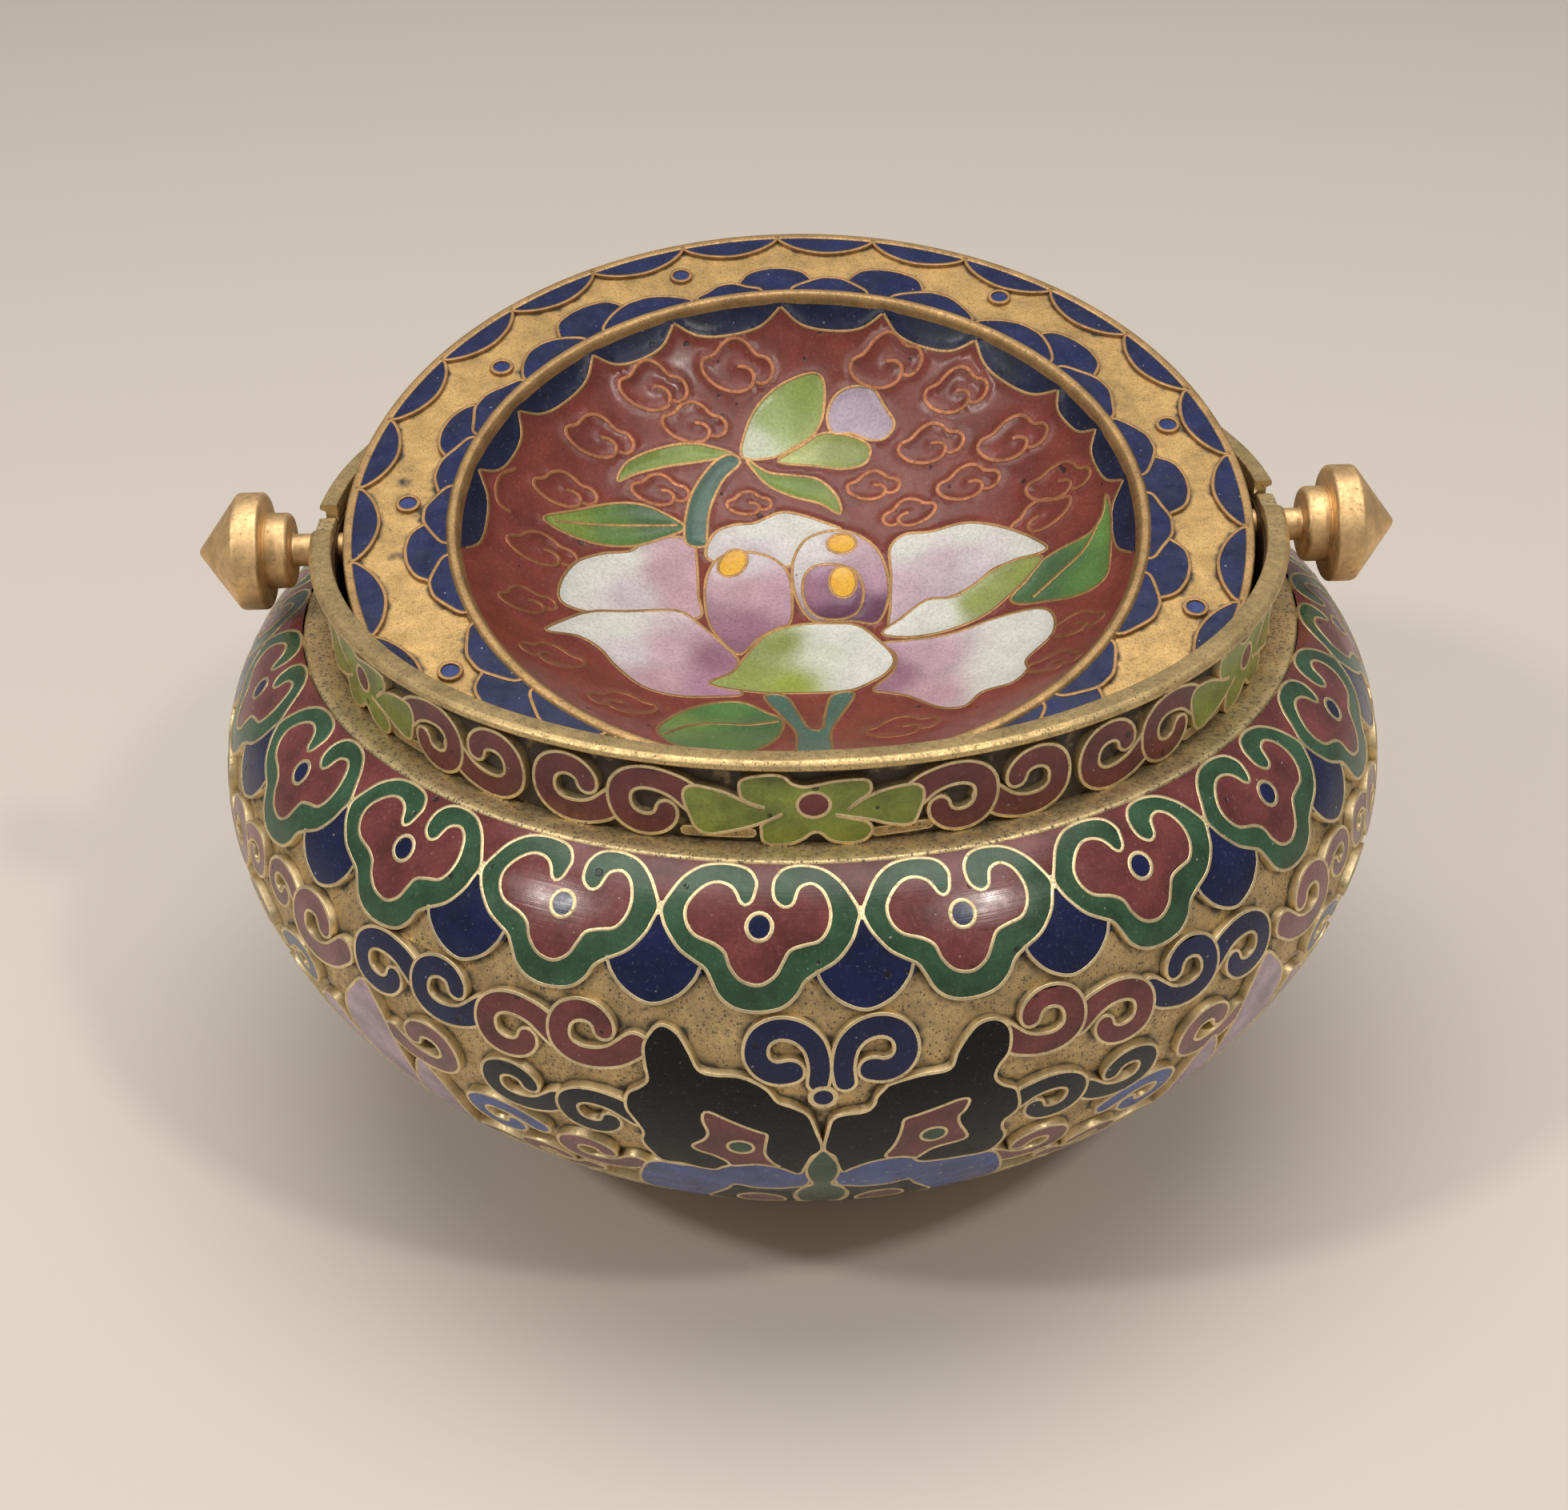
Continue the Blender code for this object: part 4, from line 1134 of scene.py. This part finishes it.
# outline and colour stops (x, y, colour), in mm on the dish
PETALS = [
    ([(-8.7, 5), (-8, 8), (-6, 9.3), (-4, 9.6), (-1.5, 10.9), (0.5, 10.6), (3, 9.4), (4.5, 8.2), (2, 6),
      (-.9, 4), (-3, 4), (-6, 4)], [(-4, 9, WHITE), (1, 10, WHITE), (-4, 6.5, CREAM)]),
    ([(-22, -4.5), (-22.3, -2), (-21, 1.5), (-18.5, 3.6), (-16, 4.6), (-14.5, 6.3), (-12, 7.2), (-10, 6.8),
      (-9.6, 4), (-9.5, 0), (-9.3, -3), (-12, -3.6), (-14.5, -3.6), (-17, -4), (-19.5, -4.8)],
      [(-21, -1, WHITE), (-19, 2, WHITE), (-16.5, 3.8, WHITE), (-13, 3, ROSE), (-11, 0, ROSE),
      (-11, 5.5, ROSE), (-16, -1, CREAM)]),
    ([(-23.3, -9.5), (-21, -6), (-19, -4.4), (-16.5, -3.6), (-13, -2.6), (-11, -2.6), (-9, -4.5), (-7, -7),
      (-5.8, -9.3), (-7, -12), (-5.5, -14.1), (-8, -14.8), (-11.5, -15.3), (-14.5, -14.6), (-17, -12),
      (-18.5, -9.8), (-20.5, -8.8)], [(-20, -7, WHITE), (-17, -6, WHITE), (-16, -9, CREAM),
      (-12.5, -8, (190, 160, 172)), (-8, -9, PLUM), (-8, -13, (165, 122, 146)), (-13, -13, ROSE)]),
    ([(-5.2, 5.9), (-7.5, 5), (-8.7, 2.5), (-8.9, -1), (-8.3, -4.5), (-6.5, -7.5), (-5.5, -8), (-4, -5.8),
      (-2, -4.2), (-.9, -3.5), (-.6, 0), (-1, 3.5), (-2.8, 5.4)], [(-5, 5, (200, 192, 198)), (-5, 1, ROSE),
      (-2, 1, (182, 146, 162)), (-5, -4, PLUM), (-6, -7, PLUM)]),
    ([(3.5, 8.4), (1, 7.5), (-.3, 5), (-.5, 2), (0, -1), (1.2, -3.3), (3, -3.6), (5, -3.7), (7.2, -4.2),
      (8.4, -1.5), (8.6, 2), (7.8, 5.5), (5.8, 7.8)], [(1, 6.5, (200, 196, 196)), (7, 5, (178, 150, 162)),
      (8, 2, (168, 134, 152)), (7.3, -2.4, DARK_PLUM)]),
    ([(2.8, 4.2), (1, 3.4), (.4, 1), (.8, -1.5), (2, -3), (4, -3.3), (5.6, -2.3), (6.2, .5), (5.4, 3.2)],
      [(3, 4, (158, 122, 144)), (1, 1, PLUM), (3.5, -3, (92, 54, 78))]),
    ([(9, 5.5), (10.5, 7), (13, 6.8), (16, 7), (18.5, 6), (21, 4), (23, 1.5), (23.3, .3), (21, .4),
      (18.5, .2), (16.5, -1.3), (14, -2.2), (12, -2), (10, -4), (8.3, -5.2), (8.6, -2), (8.9, 2)],
      [(11, 6.5, WHITE), (17, 6.2, WHITE), (22, 2.2, WHITE), (14, 2.5, (184, 162, 174)),
      (10, 0, (184, 158, 172)), (17, 2, CREAM)]),
    ([(22.5, -1), (24.5, -.3), (27, -.2), (28.3, 1), (28.9, 3.3), (29, 0), (28.3, -5), (27.5, -7.5),
      (25.5, -7.9), (22.5, -6.6), (20.2, -5.6), (19.6, -4.3), (21.3, -2.6)], [(21.5, -4.5, DEEP_LEAF),
      (24, -2, DEEP_LEAF), (26.5, -5.5, (84, 124, 62)), (28, 0, (96, 134, 66))]),
    ([(7.5, -7.2), (10, -7.2), (14, -7.3), (18, -6.6), (21.5, -7), (22.9, -8.8), (22.5, -12), (20, -14.5),
      (19.8, -16.5), (18.3, -18), (15.8, -17.9), (14, -19.8), (12, -19), (9.5, -16), (7.5, -14.8),
      (6.3, -14), (8.3, -11.5), (8.6, -9)], [(20, -9, WHITE), (18, -13, WHITE), (17, -16.5, WHITE),
      (12, -10, (182, 152, 166)), (12, -16, ROSE), (8.3, -12, PLUM)]),
    ([(7.6, -5.8), (9.5, -4), (12, -2), (14.5, -2.2), (16.5, -1.2), (18.5, .1), (21, .5), (22.9, -.4),
      (21.5, -2.2), (19.5, -4), (17, -5.8), (13.5, -6.8), (10, -6.8)], [(10, -5, WHITE), (13, -4, WHITE),
      (16.5, -3.5, LEAF), (21, -1, LEAF)]),
    ([(-8.5, -12.8), (-6.5, -10.8), (-5, -8), (-3, -5), (0, -3.8), (3, -3.8), (5.5, -4.4), (7.3, -6.8),
      (8.5, -9.5), (7.8, -11.5), (6, -13), (4, -13.9), (0, -13.9), (-4, -13.8)], [(-5, -11, LEAF),
      (-2, -6, LEAF), (-1, -12.5, (142, 156, 62)), (3.2, -5.5, WHITE), (6, -9, WHITE),
      (2.2, -8, (196, 202, 184)), (5, -12, WHITE)]),
    ([(-3.6, -14.4), (-1.6, -14.4), (-.5, -17.5), (.3, -20), (1.4, -20.2), (1.8, -17.5), (2.6, -14.4),
      (4.6, -14.4), (3.2, -18), (2.2, -21), (1.9, -26), (-.8, -26), (-.9, -21), (-2, -18)],
      [(0, -18, TEAL)]),
    ([(-11.5, -26.5), (-13, -23), (-12.2, -20), (-10.5, -17.5), (-8, -15.8), (-5.5, -15.5), (-3.5, -17),
      (-2, -18.6), (-2.6, -22), (-5, -25.5), (-8, -27.5)], [(-11, -20, (100, 128, 66)),
      (-8, -17.5, (78, 118, 60)), (-4, -20, DEEP_LEAF), (-8, -24, (72, 112, 58))]),
    ([(-24, 5.6), (-21, 8), (-17.5, 10), (-14.5, 10.5), (-11.5, 9.3), (-10.8, 8.3), (-13, 6.8), (-16, 5.2),
      (-20, 4.6)], [(-22, 6.5, (122, 142, 62)), (-17, 7, (88, 122, 56)), (-14, 9, DEEP_LEAF)]),
    ([(-17.2, 12.6), (-16.2, 15), (-13, 17.2), (-9.5, 18.2), (-5.8, 17.4), (-9, 16.4), (-12.5, 15.3),
      (-15.4, 13.9)], [(-14, 15, (116, 136, 60)), (-8, 17.4, (128, 146, 68))]),
    ([(-10.6, 6.6), (-10.7, 9.5), (-9.9, 13), (-8, 16.2), (-6.2, 17.4), (-5.2, 16.6), (-7, 14.4),
      (-8.3, 11), (-8.6, 8), (-8.8, 6.4)], [(-9, 12, TEAL)]),
    ([(-1.5, 16.8), (1, 18.5), (3, 19.6), (5.5, 19.2), (7.6, 17.8), (7.2, 16), (5, 15.6), (2, 16.2)],
      [(0, 17.2, (176, 184, 120)), (5, 17.4, LEAF)]),
    ([(-5, 17.2), (-4.6, 20), (-3.4, 22.4), (-1.4, 24.2), (1, 25.2), (2.7, 25.3), (3.4, 24.3), (3.2, 21.6),
      (2.2, 19.6), (0, 18.2), (-2, 17.2)], [(-3.8, 18.8, (192, 200, 176)), (-2, 21.5, (150, 168, 100)),
      (1.5, 22.5, (132, 152, 70)), (2, 20.2, (140, 156, 78))]),
    ([(4, 19.6), (3.6, 21.5), (4.5, 23.2), (6.2, 23.8), (8.2, 23.3), (9.3, 21.5), (10.2, 19.6), (9.2, 18.3),
      (7.6, 18.4), (6, 19.3)], [(6.5, 21.5, (172, 154, 170))]),
    ([(-4.6, 17), (-2.5, 15.6), (0, 15.2), (2.5, 14.6), (4.2, 12.5), (4.4, 10.4), (2.5, 11.8), (0, 12.7),
      (-2.4, 14), (-3.8, 15.6)], [(0, 14, (112, 134, 56)), (4, 11.5, (126, 142, 66))]),
]
YOLKS = [((-6.2, 4.4), 1.25, 1.9, -28.0), ((4.4, 6.7), 1.4, 1.25, 0.0), ((4.3, 1.7), 1.3, 2.1, 0.0)]
RIBS = [
    [(-12.4, -23.5), (-10.5, -20.8), (-8, -19.6), (-5, -19.4), (-2.4, -18.6)], [(-23, 5.9), (-19, 7),
    (-15, 8), (-11.5, 8.7)], [(21.5, -5.3), (24, -3.5), (26.5, -1.8), (28.2, 1)],
]
CLOUD = [
    (0.02, 0.0), (0.28, -0.02), (0.46, -0.2), (0.34, -0.5), (-0.08, -0.62), (-0.6, -0.5), (-0.95, -0.2),
    (-0.93, 0.08), (-0.62, 0.22), (-0.33, 0.5), (0.0, 0.62), (0.3, 0.52), (0.55, 0.28), (0.85, 0.2),
    (1.0, -0.02), (0.92, -0.28), (0.7, -0.4), (0.5, -0.36),
]
# x, y, half width, turn in degrees, mirrored
CLOUDS = [
    (-5.3, 25.9, 3.6, 2, 1), (-13.7, 22.9, 3.4, 12, 1), (9.6, 25.4, 3.6, -6, 1), (16.3, 21.1, 3.1, -14, 1),
    (-9.7, 20.3, 3.2, 4, 1), (-18.9, 16.7, 3.3, 10, 1), (-22.1, 9.9, 3.0, 10, 1), (-13.1, 12.6, 2.8, 4, 1),
    (21.3, 14.5, 3.3, -14, 1), (13.6, 16.8, 3.2, -6, 1), (16.9, 11.6, 3.0, -6, 1), (25.0, 7.8, 3.0, -20, 1),
    (23.1, 4.9, 2.9, 10, -1), (7.8, 13.4, 2.6, -4, 1), (11.1, 9.6, 2.6, 8, -1), (-4.5, 12.0, 2.2, 4, 1),
    (-24.0, 1.8, 3.2, 8, 1), (-25.0, -6.0, 2.7, 28, 1), (-22.4, -13.3, 2.8, 14, -1),
    (-16.1, -18.3, 3.0, 10, -1), (8.4, -21.3, 3.2, 2, 1), (24.4, -12.0, 2.6, -26, 1),
    (22.0, -17.2, 2.5, -34, 1),
]
LONE_RIDGE = [(-26.6, 9.7), (-27.8, 8.2), (-28.2, 6.4), (-27.9, 4.9), (-26.9, 4.6)]
LOWER_DEPTH = 1.65
CLOUD_WIRE = 0.46
PETAL_WIRE = 0.34
GLAZE_RISE = 0.16
GLAZE_REACH = 0.55
GLAZE_GRID = 0.4
GLAZE_INSET = 0.02
LOBE_INSET = 0.08
DOT_INSET = 0.2
PETAL_KIND = 10
HOLE_KIND = 50
YOLK_KIND = 60
D_RED, D_NAVY_RING_SHADED, D_TINT, D_BLUE, D_DOT, D_GOLD, D_RING, D_UNDER = range(8)
LOWER_CUSPS = [-96.5, -76.4, -59.6, -39.4, -22.1, -1.4, 18.1, 36.9, 57.2, 69.5, 83.5, 101.9]


def color_values(stops):
    """soft blend of the colour stops, weighted by closeness"""
    places = np.array([s[:2] for s in stops], float)
    colors = np.array([linear(*s[2]) for s in stops])

    def values(plane):
        gap = ((plane[:, None, :] - places[None]) ** 2).sum(axis=2) + 0.6
        weight = gap ** -1.6
        return weight @ colors / weight.sum(axis=1)[:, None]
    return values


def rotated(points, degrees):
    c, s = math.cos(math.radians(degrees)), math.sin(math.radians(degrees))
    return np.array(points, float) @ np.array([(c, s), (-s, c)])


def make_hollow(pile, wires):
    """red ground, clouds, the flower spray and the blue half rounds under the ring"""
    border = polar(np.arange(0.0, 360.0, 1.5), HOLLOW_RADIUS)
    regions = [(polar(np.arange(0.0, 360.0, 3.0), HOLLOW_RADIUS + 1.0), D_RED)]
    slots, values, lines = {D_RED: D_RED, D_NAVY_RING_SHADED: D_NAVY_RING_SHADED}, {}, []
    for x, y, size, lean, mirror in CLOUDS:
        shape = rotated(np.array(CLOUD) * (mirror * size, size), lean) + (x, y)
        lines.append((curve(shape, closed=False), False, CLOUD_WIRE, None))
    lines.append((curve(LONE_RIDGE, closed=False), False, CLOUD_WIRE, None))
    for a, b in zip(LOWER_CUSPS, LOWER_CUSPS[1:]):
        deep = LOWER_DEPTH * min(1.0, (b - a) / 17.0)
        at = [(a, 30.55), (a + 0.2 * (b - a), 30.35 - deep * 0.65), (a + 0.5 * (b - a), 30.55 - deep),
              (b - 0.2 * (b - a), 30.35 - deep * 0.65), (b, 30.55)]
        arc = curve([polar(t, r)[0] for t, r in at], closed=False)
        rim = np.array([polar(t, 31.2)[0] for t in np.linspace(b, a, 8)])
        cell = np.vstack([arc, rim])
        regions.append((cell, D_NAVY_RING_SHADED))
        lines.append((arc, False, PETAL_WIRE, cell))
    for number, (outline, stops) in enumerate(PETALS):
        line, kind = curve(outline), PETAL_KIND + number
        regions.append((line, kind))
        lines.append((line, True, PETAL_WIRE, line))
        slots[kind], values[kind] = D_TINT, color_values(stops)
    for number, (middle, across, down, lean) in enumerate(YOLKS):
        ring, kind = rotated(oval((0, 0), across, down), lean) + np.array(middle), YOLK_KIND + number
        regions.append((ring, kind))
        lines.append((ring, True, PETAL_WIRE, ring))
        slots[kind], values[kind] = D_TINT, color_values([(*middle, YOLK)])
    for rib in RIBS:
        lines.append((curve(rib, closed=False), False, PETAL_WIRE, None))
    drawn = uncovered(lines)
    place = Ridged(HOLLOW, [line for line, _, _ in drawn], GLAZE_RISE, GLAZE_REACH)
    made = cut(border, regions, GLAZE_GRID)
    for kind, paint in slots.items():
        pile.add_cut(place, made, -GLAZE_INSET, {kind: paint}, values.get(kind))
    for line, closed, width in drawn:
        wire(wires, place, line, closed, width, GLAZE_INSET, 0.12, kind=int(width == CLOUD_WIRE))


# blue cells against the ring: middle azimuth, outer radius, half width in degrees
REAR_LOBES = [
    (-69, 35.4, 9.0), (-35, 36.4, 8.5), (-2, 35.7, 8.0), (17, 36.3, 8.5), (52, 36.2, 9.0), (87, 36.0, 8.5),
    (106, 35.8, 8.5), (140, 36.2, 8.5), (175, 36.0, 8.5), (194, 35.8, 8.5), (228, 36.2, 8.5),
    (262, 35.8, 8.5),
]
FRONT_LOBES = [
    (-79, 34.0, 9.0), (-61.5, 34.0, 8.0), (-46, 34.6, 7.5), (-26, 34.5, 9.0), (-10.5, 33.8, 6.0),
    (7.5, 34.2, 7.0), (26.5, 34.3, 8.0), (43.5, 34.5, 8.5), (61.5, 34.1, 8.0), (77, 34.3, 7.5),
    (96.5, 34.0, 8.0), (115, 34.2, 7.5), (131.5, 34.2, 7.5), (149, 34.2, 7.5), (166, 34.2, 7.5),
    (184.5, 34.0, 7.0), (203, 34.2, 7.5), (219.5, 34.2, 7.5), (237, 34.2, 7.5), (254, 34.2, 7.0),
    (270.5, 34.2, 7.0),
]
DISH_DOTS = [
    (-86.9, 35.8), (-53, 35.2), (-17, 36.5), (35, 36.8), (73.9, 36.7), (112.4, 37.2), (157.5, 36.4),
    (211, 36.4), (237.5, 36.2),
]
FLANGE_PITS = [(-82.0, 36.6), (-97.5, 37.2)]
# share of the half width, radius
SCALLOP = [(-0.98, 40.9), (-0.93, 40.1), (-0.55, 38.8), (0.0, 38.2), (0.55, 38.8), (0.93, 40.1),
           (0.98, 40.9)]
DOT_RADIUS = 0.85


def arc_cell(middle, half, shape, back):
    """an arc through (share of half, radius) points, and its cell closed at the radius back"""
    arc = curve([polar(middle + share * half, radius)[0] for share, radius in shape], closed=False)
    ends = polar(np.linspace(middle + half, middle - half, 6), back)
    return arc, np.vstack([arc, ends])


def make_flange(pile, wires):
    """gilt ground, with blue scallops at the edge, blue lobes against the ring, and dots between them"""
    border = polar(np.arange(0.0, 360.0, 1.0), 41.0)
    regions, lines = [], []
    pitch = 360.0 / SCALLOPS
    for middle, peak, half in REAR_LOBES + FRONT_LOBES:
        shape = [(-1.0, 31.6), (-0.93, 32.5), (-0.6, peak - 0.85), (-0.25, peak - 0.1), (0.0, peak),
                 (0.25, peak - 0.1), (0.6, peak - 0.85), (0.93, 32.5), (1.0, 31.6)]
        arc, cell = arc_cell(middle, half, shape, 31.4)
        regions.append((cell, D_BLUE))
        lines.append((arc, False, PETAL_WIRE, cell))
    for index in range(SCALLOPS):
        arc, cell = arc_cell(SCALLOP_TURN + pitch * (index + 0.5), pitch / 2, SCALLOP, 41.3)
        regions.append((cell, D_BLUE))
        lines.append((arc, False, PETAL_WIRE, cell))
    for turn, radius in DISH_DOTS:
        middle = polar(turn, radius)[0]
        regions.append((oval(middle, DOT_RADIUS, DOT_RADIUS), D_DOT))
        ring = oval(middle, DOT_RADIUS + 0.13, DOT_RADIUS + 0.13)
        lines.append((ring, True, 0.36, ring))
    regions.append((polar(np.arange(0.0, 360.0, 2.0), 31.8), HOLE_KIND))
    made = cut(border, regions)
    drawn = uncovered(lines)
    pits = [oval(polar(turn, radius)[0], size, size)
            for turn, radius in FLANGE_PITS for size in (0.15, 0.35)]
    # the flange ground's values darken it near wires and pits with patina and painted shade
    near = patina_shade_near_cells([line for line, *_ in drawn] + pits, 0.35)
    pile.add_cut(FLAT, made, -LOBE_INSET, {D_BLUE: D_BLUE})
    pile.add_cut(FLAT, made, -DOT_INSET, {D_DOT: D_DOT})
    pile.add_cut(FLAT, made, -FLANGE_GROUND, {GROUND_KIND: D_GOLD}, near)
    for line, closed, width in drawn:
        wire(wires, FLAT, line, closed, width, 0.0, FLANGE_GROUND + 0.05)


def along_x(side):
    """a transform that lays a turned form along the pins' axis"""
    def placed(points, normals):
        def laid(p):
            return np.column_stack([side * p[:, 2], side * p[:, 0], p[:, 1]])
        return tilted(laid(points)), tilted(laid(normals), 0.0)
    return placed


DISH, DISH_LINES = Pile(), Pile()
DISH_PAINTS = [DISH_RED, DISH_NAVY_RING_SHADED, DISH_TINT, DISH_BLUE, DISH_DOT, DISH_GOLD, DISH_RING, DISH_UNDER]
make_hollow(DISH, DISH_LINES)
make_flange(DISH, DISH_LINES)
SKIRT = -2.9
DISH_WALL = 1.2
INNER_RING = [(30.7, 2.9), (30.95, 3.6), (31.25, 4.0), (31.85, 4.0), (32.2, 3.6), (32.35, 2.95)]
EDGE = [(40.45, 2.9), (40.5, FLANGE), (DISH_RADIUS, FLANGE), (DISH_RADIUS, SKIRT)]
SKIRT_INSIDE = [(DISH_RADIUS, SKIRT + 0.05), (41.35, SKIRT), (40.4, SKIRT), (40.4, 1.8), (32.6, 1.8)]
BOSS = [(1.55, 40.6), (2.6, 40.6), (2.6, 38.2), (1.55, 38.2)]
spin(DISH, rounded(INNER_RING, 0.2), D_RING, step=1.0, placed=on_dish)
spin(DISH, rounded(EDGE, 0.25), D_RING, step=1.0, placed=on_dish)
slope = unit(np.gradient(HOLLOW_PROFILE, axis=0))
under = HOLLOW_PROFILE + np.column_stack([slope[:, 1], -slope[:, 0]]) * DISH_WALL
under = under[(under[:, 1] < 1.7) & (under[:, 0] > 0.3)]
under = np.vstack([rounded(SKIRT_INSIDE, 0.1), under[::-1], [(AXIS, HOLLOW_FLOOR - DISH_WALL)]])
spin(DISH, under, D_UNDER, step=2.0, placed=on_dish)
for side in (-1, 1):
    spin(DISH, rounded(BOSS, 0.15), D_RING, step=6.0, placed=along_x(side))
dish = DISH.build("dish_enamel", DISH_PAINTS, "dish", "dish_enamel", "tint")
DISH_LINES.build("dish_gilt_wires", [DISH_WIRE, DISH_RIDGE], "dish", "dish_enamel")
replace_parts(dish, "tilting_dish")


# The pins' knobs

PIN_RADIUS = 1.5
# radius, distance from the middle of the dish, from the point to the pin's inner end
KNOB_SECTION = [(AXIS, 55.25), (0.4, 55.1), (5.32, 51.4), (5.4, 51.15), (5.4, 49.1), (5.1, 48.86),
                (3.42, 48.86), (3.48, 48.6), (3.48, 46.95), (3.2, 46.6), (PIN_RADIUS, 46.6),
                (PIN_RADIUS, 38.3), (AXIS, 38.25)]
for side, word in ((-1, "left"), (1, "right")):
    pile = Pile()
    spin(pile, rounded(KNOB_SECTION, 0.3), 0, step=5.0, placed=along_x(side), sharp=50.0)
    knob = pile.build("knob_" + word, [KNOB], "dish", word + "_knob_brass")
    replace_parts(knob, "pin_knob_" + word)


# Camera, floor and light. The camera's place, its three angles in radians and its lens were solved
# together with the circles of the rim, dish and belly.

FOCAL = 54.556
SENSOR = 36.0
CAMERA_PLACE = (-0.0047615, -0.1978824, 0.1540762)
PITCH, YAW, ROLL = 0.551425, 0.0154088, -0.01947485

ahead = Vector((math.sin(YAW) * math.cos(PITCH), math.cos(YAW) * math.cos(PITCH), -math.sin(PITCH)))
level = Vector((math.cos(YAW), -math.sin(YAW), 0.0))
above = level.cross(ahead)
right_axis = math.cos(ROLL) * level + math.sin(ROLL) * above
up_axis = -math.sin(ROLL) * level + math.cos(ROLL) * above
camera_data = bpy.data.cameras.new("camera")
camera_data.lens = FOCAL
camera_data.sensor_width = SENSOR
camera_data.sensor_fit = "HORIZONTAL"
camera = bpy.data.objects.new("camera", camera_data)
camera.matrix_world = Matrix((right_axis, up_axis, -ahead)).transposed().to_4x4()
camera.location = CAMERA_PLACE
bpy.context.scene.collection.objects.link(camera)
bpy.context.scene.camera = camera


def area_light(name, place, target, size, power, color):
    data = bpy.data.lights.new(name, "AREA")
    data.shape = "RECTANGLE"
    data.size, data.size_y = size
    data.energy = power
    data.color = color
    lamp = bpy.data.objects.new(name, data)
    lamp.location = place
    lamp.rotation_euler = (Vector(target) - Vector(place)).to_track_quat("-Z", "Y").to_euler()
    bpy.context.scene.collection.objects.link(lamp)


area_light("overhead", (0.0, 0.02, 0.95), (0.0, 0.0, 0.03), (0.9, 0.6), 5.8, (1.0, 0.97, 0.93))
area_light("left_lamp", (-0.376, -0.245, 0.47), (0.0, 0.0, 0.05), (0.05, 0.05), 1.0, (1.0, 0.96, 0.9))
area_light("right_lamp", (0.265, -0.31, 0.505), (0.0, 0.0, 0.05), (0.05, 0.05), 0.9, (1.0, 0.95, 0.88))

SKY_LIGHT = (0.86, 0.82, 0.78, 1.0)
SKY_STRENGTH = 0.36
world = bpy.data.worlds.new("studio")
world.use_nodes = True
background = world.node_tree.nodes["Background"]
background.inputs["Color"].default_value = SKY_LIGHT
background.inputs["Strength"].default_value = SKY_STRENGTH
bpy.context.scene.world = world
bpy.context.scene.view_settings.view_transform = "Standard"

FLOOR_HALF = 3.0
corners = [(x * FLOOR_HALF, y * FLOOR_HALF, 0) for x, y in ((-1, -1), (1, -1), (1, 1), (-1, 1))]
floor_mesh = bpy.data.meshes.new("floor")
floor_mesh.from_pydata(corners, [], [(0, 1, 2, 3)])
floor_mesh.materials.append(Paint("floor_matte", 0.75).finish(linear(208, 200, 192)))
floor = bpy.data.objects.new("floor", floor_mesh)
bpy.context.scene.collection.objects.link(floor)
